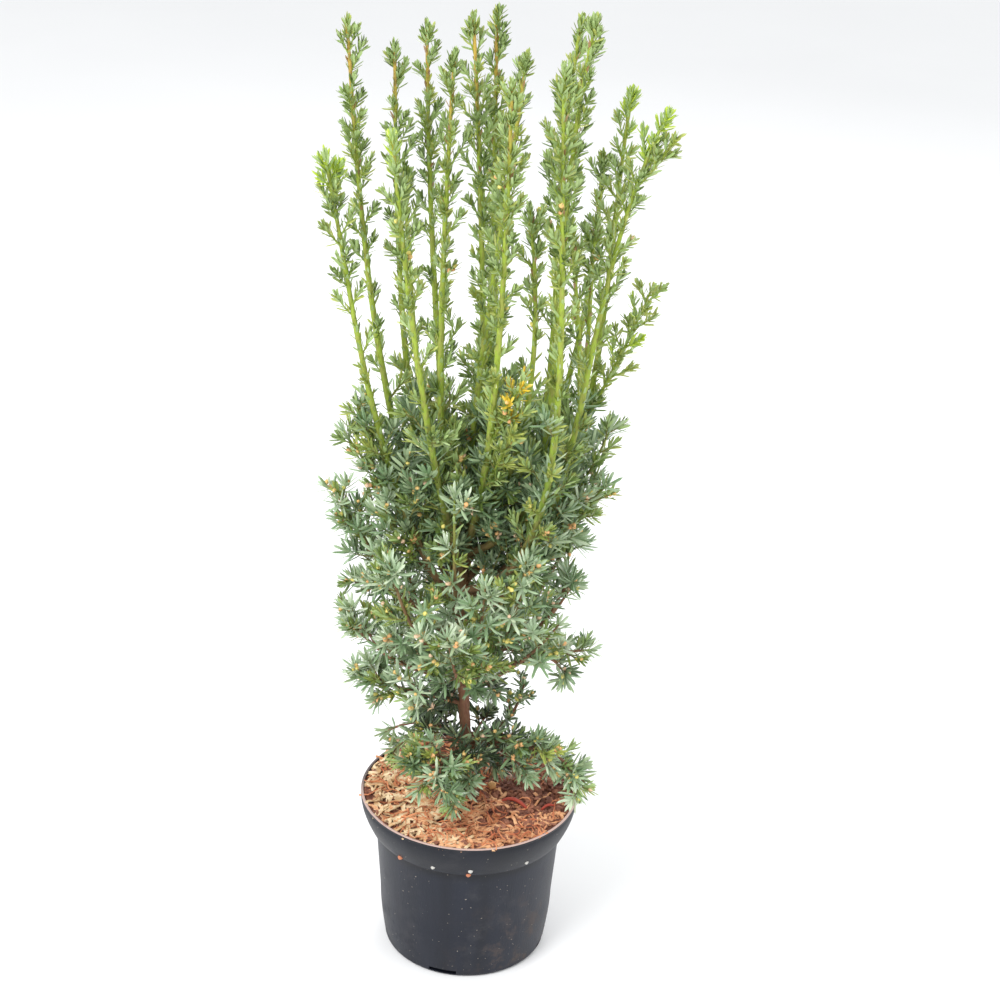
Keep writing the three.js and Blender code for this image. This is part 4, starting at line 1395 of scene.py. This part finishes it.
def make_foliage():
    """Joined needles, buds and twigs, group by group."""
    grow_plant()
    needle_looks = [needle_finish(name) for name in NEEDLE_KINDS]
    bud_looks = [plain_finish(name, colour) for name, colour in BUD_COLOURS.items()]
    twig_looks = [plain_finish(name, colour, 0.65) for name, colour in TWIG_COLOURS.items()]
    twig_kinds = list(TWIG_COLOURS)
    for group, rows in foliage.needles.items():
        nodes = [f"foliage_{limb.name}" for limb in limbs if group_of(limb) == group]
        mesh = needle_mesh(f"needles_{group}", rows)
        add_piece(f"needles_{group}", mesh, needle_looks, nodes)
    every_bud = [row for rows in foliage.buds.values() for row in rows]
    add_piece("buds", bud_mesh("buds", every_bud), bud_looks, smooth=True)
    for shape in ("shoots", "sprays"):
        parts, kinds = [], []
        for group, rows in foliage.twigs.items():
            for course, kind in rows if group.startswith(shape) else ():
                part = tube(course, lambda share: mix(*TWIG_RADII, share), 4, 5)
                parts.append(part)
                kinds.append(np.full(len(part[1]), twig_kinds.index(kind)))
        add_joined(f"twigs_{shape}", parts, twig_looks, kinds=np.concatenate(kinds))


def lattice_noise(table, around, up):
    """Smooth noise from a table, around and up counted in its cells."""
    rows, columns = table.shape
    low_u, low_v = np.floor(around).astype(int), np.floor(up).astype(int)
    u, v = around - low_u, up - low_v
    u, v = u * u * (3 - 2 * u), v * v * (3 - 2 * v)
    columns_at = [(low_u + step) % columns for step in (0, 1)]
    rows_at = [(low_v + step) % rows for step in (0, 1)]
    low = mix(table[rows_at[0], columns_at[0]], table[rows_at[0], columns_at[1]], u)
    high = mix(table[rows_at[1], columns_at[0]], table[rows_at[1], columns_at[1]], u)
    return mix(low, high, v)


def bark_relief(seed, depth):
    """Long thin plates of bark with finer scales on them, as a depth in millimetres."""

    def pattern(own_seed, turns, distance, around, rows, height):
        table = np.random.default_rng(own_seed).random((rows + 2, around))
        return lattice_noise(table, turns * around, distance / height)

    def relief(distance, angle, radius):
        turns = angle / (2 * math.pi) + distance * 0.0012
        plates = pattern(seed, turns, distance, *BARK_PLATES)
        scales = pattern(seed + 1, turns, distance, *BARK_SCALES)
        edges = np.clip((plates - 0.42) * 6, 0, 1)
        return depth * (0.75 * edges + 0.45 * scales - 0.6)

    return relief


def trunk_radius(share):
    flare = max(0.0, 1 - share * trunk_course.length / FLARE_LENGTH)
    return mix(TRUNK_FOOT_RADIUS, TRUNK_TIP_RADIUS, share) + (FLARE_RADIUS - TRUNK_FOOT_RADIUS) * flare**2


def trunk_relief(distance, angle, radius):
    """Bark plates, a swelling where each limb leaves the trunk, and ridges over the roots."""
    plates = bark_relief(TRUNK_BARK_SEED, TRUNK_BARK_DEPTH)(distance, angle, radius)
    bark = plates * np.clip(radius / 5, 0.5, 1.3)
    frames = trunk_course.at(distance[:, 0] / trunk_course.length)
    swelling = np.zeros(bark.shape)
    for limb in limbs:
        if limb.name == "leader":
            continue
        foot = limb.course.points[0]
        heading = unit(limb.course.points[3] - foot)
        bearing = math.atan2(heading @ frames.lift[0], heading @ frames.across[0])
        turn = (angle - bearing + math.pi) % (2 * math.pi) - math.pi
        rise = frames.point[:, 2:3] - foot[2]
        near = (turn / SWELLING_TURN) ** 2 + ((rise + 2) / SWELLING_RISE) ** 2
        swelling += SWELLING * np.exp(-near)
    ridges = RIDGE_DEPTH * np.sin(3 * angle + 1) * np.clip(1 - distance / RIDGE_LENGTH, 0, 1)
    return bark + swelling + ridges


def bough_tube(limb, seed):
    """The bare bark-clad part of a limb, a little flared at its foot."""
    length = limb.course.length
    radius_at = stem_radius(limb)

    def flared(share):
        return radius_at(share) * (1 + BOUGH_FLARE * max(0, 1 - share * length / BOUGH_FLARE_LENGTH))

    rings = int(limb.bare * length / BOUGH_RING_PACE)
    return tube(limb.course, flared, 16, rings, (0, limb.bare), bark_relief(seed, BOUGH_BARK_DEPTH))


def make_wood():
    """The trunk and boughs in barked relief, and the stems that carry the shoots and sprays."""
    bark = [bark_finish()]
    points, faces = tube(trunk_course, trunk_radius, TRUNK_SIDES, TRUNK_RINGS, relief=trunk_relief)
    points[:, 2] = np.maximum(points[:, 2], TRUNK_FOOT[2] - TRUNK_SUNK)
    add_joined("trunk_with_bark", [(points, faces)], bark, ["trunk"])
    boughs, stems = [], []
    for number, limb in enumerate(limbs):
        if limb.bare > 0:
            boughs.append(bough_tube(limb, FIRST_BARK_SEED + number))
        rings = int((1 - limb.bare) * limb.course.length / STEM_RING_PACE)
        stems.append(tube(limb.course, stem_radius(limb), 10, rings, (limb.bare, 0.995), leaf_bases))
    for course in [course for rows in foliage.stems.values() for course in rows]:
        rings = int(course.length / STEM_RING_PACE)
        stems.append(tube(course, lambda share: mix(*LATERAL_RADII, share), 8, rings, relief=leaf_bases))
    bough_nodes = [f"bough_{limb.name}" for limb in limbs if limb.bare > 0]
    add_joined("boughs_with_bark", boughs, bark, bough_nodes)
    add_joined("shoot_stems", stems, bark)


def body_radius(height):
    """The outer radius of the pot's wall below its collar."""
    middle = BODY_MIDDLE_HEIGHT
    top = POT_HEIGHT - COLLAR_HEIGHT
    if height < middle:
        share = (height - FOOT_ROUNDING) / (middle - FOOT_ROUNDING)
        return mix(BODY_LOW_RADIUS, BODY_MIDDLE_RADIUS, math.sin(share * math.pi / 2))
    return mix(BODY_MIDDLE_RADIUS, BODY_TOP_RADIUS, (height - middle) / (top - middle))


def collar_radius(height):
    """The collar bulges: steep under the lip, and curving in towards its foot."""
    share = (height - POT_HEIGHT + COLLAR_HEIGHT) / (COLLAR_HEIGHT - LIP_HEIGHT)
    return mix(COLLAR_FOOT_RADIUS, RIM_RADIUS, math.sin(share * math.pi / 2))


def arc(centre_radius, centre_height, rounding, start, end, steps):
    """Points of a quarter round or so, as (radius, height)."""
    angles = np.radians(np.linspace(start, end, steps))
    return [(centre_radius + rounding * math.cos(a), centre_height + rounding * math.sin(a)) for a in angles]


def pot_profile():
    """The closed outline of the pot's wall from the middle of its floor round and back."""
    collar_foot = POT_HEIGHT - COLLAR_HEIGHT
    lip_foot = POT_HEIGHT - LIP_HEIGHT
    heights = np.linspace(FOOT_ROUNDING, collar_foot - 1.5, 26)
    outside = [(0, 0), (FOOT_RADIUS - FOOT_BAND, 0), (FOOT_RADIUS, 0)]
    outside += [(mix(FOOT_RADIUS, BODY_LOW_RADIUS, math.sin(a)), FOOT_ROUNDING * (1 - math.cos(a)))
                for a in np.linspace(0.25, math.pi / 2, 6)[:-1]]
    outside += [(body_radius(height), height) for height in heights]
    outside += [(body_radius(collar_foot) + 0.4, collar_foot - 0.4)]
    bend = COLLAR_ROUNDING
    outside += arc(COLLAR_FOOT_RADIUS - bend, collar_foot + bend, bend, -90, 0, 5)
    outside += [(collar_radius(height), height) for height in np.linspace(collar_foot + 3, lip_foot - 2, 7)]
    outside += [(RIM_RADIUS - 0.6, lip_foot - 0.6)]
    outside += arc(RIM_RADIUS - LIP_ROUNDING, lip_foot + 1.0, LIP_ROUNDING, -60, 0, 3)
    outside += arc(RIM_RADIUS - LIP_ROUNDING, POT_HEIGHT - LIP_ROUNDING, LIP_ROUNDING, 0, 90, 5)
    inside = arc(RIM_RADIUS - LIP_THICKNESS + 0.8, POT_HEIGHT - 0.8, 0.8, 90, 180, 4)
    collar_heights = np.linspace(lip_foot, collar_foot, 8)
    inside += [(collar_radius(height) - POT_WALL, height) for height in collar_heights]
    inside += [(body_radius(height) - POT_WALL, height) for height in heights[::-2]]
    inside += [(FOOT_RADIUS - POT_WALL, POT_FLOOR), (0, POT_FLOOR)]
    return outside + inside


def lathe(profile, sides):
    """Points and faces of a closed outline turned round the upright through the origin."""
    ring = np.array(profile[1:-1])
    angle = np.arange(sides) * 2 * math.pi / sides
    radius, height = ring[:, 0][:, None], ring[:, 1][:, None] * np.ones(sides)
    points = np.stack([radius * np.cos(angle), radius * np.sin(angle), height], axis=2).reshape(-1, 3)
    ends = np.array([(0, 0, profile[0][1]), (0, 0, profile[-1][1])])
    return np.concatenate([points, ends]), skin_faces(len(ring), sides)


def slot_block(angle):
    """Corners and faces of a block that stands where a drain slot is cut."""
    out = np.array([math.cos(angle), math.sin(angle), 0])
    level = np.array([-math.sin(angle), math.cos(angle), 0])
    corners = [out * (BODY_LOW_RADIUS + x) + level * y + (0, 0, z)
               for x in (-SLOT_DEPTH / 2, SLOT_DEPTH / 2)
               for y in (-SLOT_WIDTH / 2, SLOT_WIDTH / 2)
               for z in (POT_FLOOR, POT_FLOOR + SLOT_HEIGHT)]
    quads = [(0, 1, 3, 2), (4, 6, 7, 5), (0, 4, 5, 1), (2, 3, 7, 6), (0, 2, 6, 4), (1, 5, 7, 3)]
    return np.array(corners), np.array(quads)


def cut_slots(mesh):
    """The pot's mesh with its drain slots cut through the foot of the wall."""
    first = math.radians(SLOT_BEARING)
    blocks = [slot_block(first + i * 2 * math.pi / SLOT_COUNT) for i in range(SLOT_COUNT)]
    cutter = stand("slot_cutter", mesh_of("slot_cutter", *joined(blocks)))
    pot = stand("uncut_pot", mesh)
    cut = pot.modifiers.new("slots", "BOOLEAN")
    cut.operation = "DIFFERENCE"
    cut.solver = "EXACT"
    cut.object = cutter
    result = settled(pot)
    bpy.data.objects.remove(cutter)
    return result


def make_chips():
    """Small chips against the pot's collar, and lumps of wood on the peat."""
    kinds = list(CHIP_COLOURS)
    rows = []

    def add_row(root, heading, length, colour):
        rows.append((root[None], unit(heading)[None], np.array([length]), np.array([kinds.index(colour)])))

    for bearing, height, length, colour in COLLAR_CHIPS:
        angle = math.radians(bearing)
        out = np.array([math.cos(angle), math.sin(angle), 0.0])
        level = np.array([-out[1], out[0], 0.12])
        add_row(out * collar_radius(height) + level * (-length / 2) + (0, 0, height), level, length, colour)
    for x, y, length, colour in SOIL_CHIPS:
        root = np.array([x, y, soil_height(x, y) + length * 0.15])
        add_row(root, np.array(SOIL_CHIP_HEADING), length, colour)
    looks = [plain_finish(name, CHIP_COLOURS[name]) for name in kinds]
    add_piece("wood_chips", bud_mesh("wood_chips", rows), looks, smooth=True)


def make_strips():
    """Arched red strips of bark on the bare peat."""
    parts = []
    for *places, radius in SOIL_STRIPS:
        points = [(x, y, soil_height(x, y) + lift) for (x, y), lift in zip(places, STRIP_LIFTS)]
        course = Course(points, (0, 0.1, 1), 12)
        parts.append(tube(course, lambda share: radius * mix(0.6, 1, 4 * share * (1 - share)), 6, 9))
    add_joined("red_strips", parts, [plain_finish("red_strip", STRIP_COLOUR)])


def make_pot():
    """The pot, whose edges stay sharp where its wall steps."""
    mesh = cut_slots(mesh_of("nursery_pot", *lathe(pot_profile(), POT_SIDES)))
    mesh.materials.clear()
    add_piece("nursery_pot", mesh, [pot_finish()], ["pot"], smooth=True)
    mesh.set_sharp_from_angle(angle=math.radians(POT_EDGE_ANGLE))


def soil_height(x, y):
    """The lumpy top of the soil, in millimetres."""
    radius = np.hypot(x, y)
    dome = mix(SOIL_CENTRE_HEIGHT, SOIL_EDGE_HEIGHT, np.clip(radius / SOIL_RADIUS, 0, 1) ** 2)
    lump = np.sin(x * 0.11 + 0.7) * np.cos(y * 0.13 + 1.1) + 0.6 * np.sin(x * 0.23 - y * 0.19)
    grain = np.sin(x * 0.93 + 2 * np.sin(y * 0.41)) * np.sin(y * 1.07 + 1.7 * np.sin(x * 0.37))
    edge = np.clip((radius / SOIL_RADIUS - SOIL_HEAP_START) / (1 - SOIL_HEAP_START), 0, 1)
    rough = (SOIL_LUMP * lump + SOIL_GRAIN * grain) * np.clip(radius / 18, 0.1, 1)
    return dome + SOIL_HEAP * edge + rough * (1 - 0.7 * edge)


def soil_grid():
    """Rings of points over the soil's top, as x, y and z, with their faces."""
    radius = SOIL_RADIUS * (np.arange(1, SOIL_RINGS + 1) / SOIL_RINGS)[:, None]
    angle = np.arange(SOIL_SIDES) * 2 * math.pi / SOIL_SIDES
    x, y = (radius * np.cos(angle)).ravel(), (radius * np.sin(angle)).ravel()
    points = np.stack([x, y, soil_height(x, y)], 1)
    centre = np.array([[0, 0, soil_height(0.0, 0.0)]])
    slopes = wall_faces(SOIL_RINGS, SOIL_SIDES)[:, [0, 2, 1]]
    return np.concatenate([points, centre]), np.concatenate([slopes, cap_faces(0, SOIL_SIDES, len(points))])


def make_soil():
    """A plug of soil with a lumpy top, closed below by a skirt and a floor."""
    points, faces = soil_grid()
    rim = (SOIL_RINGS - 1) * SOIL_SIDES
    skirt = points[rim:rim + SOIL_SIDES] * (SKIRT_TAPER, SKIRT_TAPER, 1) - (0, 0, SOIL_DEPTH)
    top, top_next, _ = cap_faces(rim, SOIL_SIDES, 0).T
    low, low_next, middle = cap_faces(len(points), SOIL_SIDES, len(points) + SOIL_SIDES).T
    triangles = ((top, low_next, top_next), (top, low, low_next), (low_next, low, middle))
    faces = np.concatenate([faces, *(np.stack(corners, 1) for corners in triangles)])
    points = np.concatenate([points, skirt, [[0, 0, SOIL_EDGE_HEIGHT - SOIL_DEPTH]]])
    add_joined("potting_soil", [(points, faces)], [soil_finish()], ["soil"])


class Rule(Tree):
    """A geometry node tree with named inputs for its sizes."""

    def __init__(self, name, inputs):
        tree = bpy.data.node_groups.new(name, "GeometryNodeTree")
        super().__init__(tree)
        tree.interface.new_socket("Geometry", in_out="INPUT", socket_type="NodeSocketGeometry")
        self.identifiers = {}
        for label, (kind, value) in inputs.items():
            socket = tree.interface.new_socket(label, in_out="INPUT", socket_type=f"NodeSocket{kind}")
            if value is not None:
                socket.default_value = value
            self.identifiers[label] = socket.identifier
        tree.interface.new_socket("Geometry", in_out="OUTPUT", socket_type="NodeSocketGeometry")
        self.entry = tree.nodes.new("NodeGroupInput")

    def given(self, label):
        return Val(self, self.entry.outputs[label])

    def finish(self, geometry):
        end = self.tree.nodes.new("NodeGroupOutput")
        self.feed(end.inputs["Geometry"], geometry)

    def vector(self, x=0.0, y=0.0, z=0.0):
        return self.node("ShaderNodeCombineXYZ", sockets={"X": x, "Y": y, "Z": z})

    def chance(self, low, high, seed):
        """A random vector between two others for each point."""
        return self.node("FunctionNodeRandomValue", {"data_type": "FLOAT_VECTOR"},
                         {0: low, 1: high, "Seed": seed})


def strewn_rule():
    """Bent strips strewn over a surface where its share attribute is high, each one warped
    a little by noise so that no two are alike."""
    inputs = {label: ("Float", value) for label, value in STRIP_INPUTS.items()}
    rule = Rule("strewn_strips", {**inputs, "Seed": ("Int", 1), "Look": ("Material", None)})
    given = rule.given
    share = rule.node("GeometryNodeInputNamedAttribute", {"data_type": "FLOAT"}, {"Name": "share"})
    spots = rule.node("GeometryNodeDistributePointsOnFaces", None, {
        "Mesh": given("Geometry"),
        "Density": given("Strips per square metre") * share,
        "Seed": given("Seed"),
    })
    half = given("Strip length") * 0.5
    line = rule.node("GeometryNodeCurveQuadraticBezier", None, {
        "Resolution": 6,
        "Start": rule.vector(x=half * -1.0),
        "Middle": rule.vector(y=given("Strip curl"), z=given("Strip curl") * 0.5),
        "End": rule.vector(x=half),
    })
    section = rule.node("GeometryNodeCurvePrimitiveQuadrilateral", None, {
        "Width": given("Strip width"),
        "Height": given("Strip thickness"),
    })
    strip = rule.node("GeometryNodeCurveToMesh", None, {
        "Curve": line,
        "Profile Curve": section,
        "Fill Caps": True,
    })
    turn = rule.chance(rule.vector(given("Tilt") * -1.0, given("Tilt") * -1.0, 0.0),
                       rule.vector(given("Tilt"), given("Tilt"), 2 * math.pi), given("Seed") + 7)
    scale = rule.chance((0.45, 0.6, 0.6), (1.25, 1.5, 1.3), given("Seed") + 13)
    strips = rule.node("GeometryNodeInstanceOnPoints", None, {
        "Points": spots,
        "Instance": strip,
        "Rotation": turn,
        "Scale": scale,
    })
    solid = rule.node("GeometryNodeRealizeInstances", None, {"Geometry": strips})
    cloud = rule.node("ShaderNodeTexNoise", None, {"Scale": 75.0, "Detail": 1.0}, output="Color")
    centred = rule.node("ShaderNodeVectorMath", {"operation": "SUBTRACT"}, {0: cloud, 1: (0.5, 0.5, 0.5)})
    strength = given("Warp") * 2.0
    warp = rule.node("ShaderNodeVectorMath", {"operation": "SCALE"}, {0: centred, "Scale": strength})
    above = rule.vector(z=given("Height above soil"))
    lift = rule.node("ShaderNodeVectorMath", {"operation": "ADD"}, {0: warp, 1: above})
    bent = rule.node("GeometryNodeSetPosition", None, {"Geometry": solid, "Offset": lift})
    rule.finish(rule.node("GeometryNodeSetMaterial", None, {"Geometry": bent, "Material": given("Look")}))
    return rule


def strew(rule, name, look, share, values):
    """One kind of mulch as a plain mesh: the rule run over the soil, with its share of it."""
    points, faces = soil_grid()
    inside = np.hypot(points[:, 0], points[:, 1])[faces].max(axis=1) < SOIL_RADIUS - MULCH_MARGIN
    mesh = mesh_of(name, points, faces[inside])
    given = mesh.attributes.new("share", "FLOAT", "POINT")
    given.data.foreach_set("value", np.clip(share(points[:, 0], points[:, 1]), 0, 1).astype(np.float32))
    emitter = stand(name, mesh)
    modifier = emitter.modifiers.new("strewn", "NODES")
    modifier.node_group = rule.tree
    for label, value in zip((*STRIP_INPUTS, "Seed", "Look"), (*values, look)):
        modifier[rule.identifiers[label]] = value
    result = settled(emitter)
    result.materials.clear()
    if "share" in result.attributes:
        result.attributes.remove(result.attributes["share"])
    add_piece(name, result, [look])


def soft_step(value, low, high):
    """0 below low, 1 above high, and a soft step from one to the other."""
    share = np.clip((value - low) / (high - low), 0, 1)
    return share * share * (3 - 2 * share)


def left_share(x, y):
    """Straw: more and more to the left."""
    return soft_step(-x - 0.3 * y, 5, 60)


def peat_share(x, y):
    """1 in the patch of bare peat to the right of the trunk."""
    return soft_step(x, 15, 40) * soft_step(y, -56, -34)


def front_share(x, y):
    """Orange shreds: mostly in front, and off the bare peat."""
    return (0.25 + soft_step(-y, -30, 50) * soft_step(x, -90, -30)) * (1 - 0.85 * peat_share(x, y))


def dark_share(x, y):
    """Dark crumbs: mostly to the right and behind."""
    return 0.2 + soft_step(x + 0.4 * y, 0, 50)


def even_share(x, y):
    """Fibres: everywhere, and fewer on the bare peat."""
    return 0.6 - 0.45 * peat_share(x, y)


def make_mulch():
    """Straw to the left, orange-brown bark in front, dark crumbs to the right, fibres all over."""
    rule = strewn_rule()
    shares = (left_share, front_share, dark_share, even_share)
    for (name, kind), share in zip(MULCH.items(), shares):
        look = mulch_finish(kind.finish, kind.dark, kind.light)
        strew(rule, name, look, share, kind.values)


def make_stage():
    """A plain pale floor and soft light from above, in front and behind."""
    corners = np.array([(-1, -1, 0), (1, -1, 0), (1, 1, 0), (-1, 1, 0)]) * FLOOR_REACH
    mesh = mesh_of("floor", corners, np.array([(0, 1, 2, 3)]))
    mesh.materials.append(floor_finish())
    stand("floor", mesh)
    world = bpy.data.worlds.new("soft_daylight")
    world.use_nodes = True
    backdrop = next(node for node in world.node_tree.nodes if node.type == "BACKGROUND")
    backdrop.inputs["Color"].default_value = (0.97, 0.985, 1.0, 1.0)
    backdrop.inputs["Strength"].default_value = 1.0
    bpy.context.scene.world = world
    for name, settings in LAMPS.items():
        add_lamp(name, *settings)


def add_lamp(name, place, size, power):
    """A round area lamp that faces the plant's middle."""
    light = bpy.data.lights.new(name, "AREA")
    light.shape = "DISK"
    light.size = size
    light.energy = power
    lamp = stand(name, light)
    heading = Vector(place) - Vector(LAMP_AIM)
    lamp.matrix_world = Matrix.Translation(place) @ heading.to_track_quat("Z", "Y").to_matrix().to_4x4()


def make_camera():
    """The camera, where the photograph was taken from."""
    lens = bpy.data.cameras.new("camera")
    lens.lens = CAMERA_LENS
    lens.sensor_width = CAMERA_SENSOR
    lens.sensor_fit = "HORIZONTAL"
    camera = stand("camera", lens)
    tilt = Matrix.Rotation(math.radians(CAMERA_TILT), 4, "X")
    roll = Matrix.Rotation(math.radians(CAMERA_ROLL), 4, "Z")
    camera.matrix_world = Matrix.Translation(CAMERA_PLACE) @ tilt @ roll
    bpy.context.scene.camera = camera


make_camera()
make_stage()
make_pot()
make_chips()
make_strips()
make_soil()
make_mulch()
make_foliage()
make_wood()
bpy.context.scene.view_settings.view_transform = "Standard"
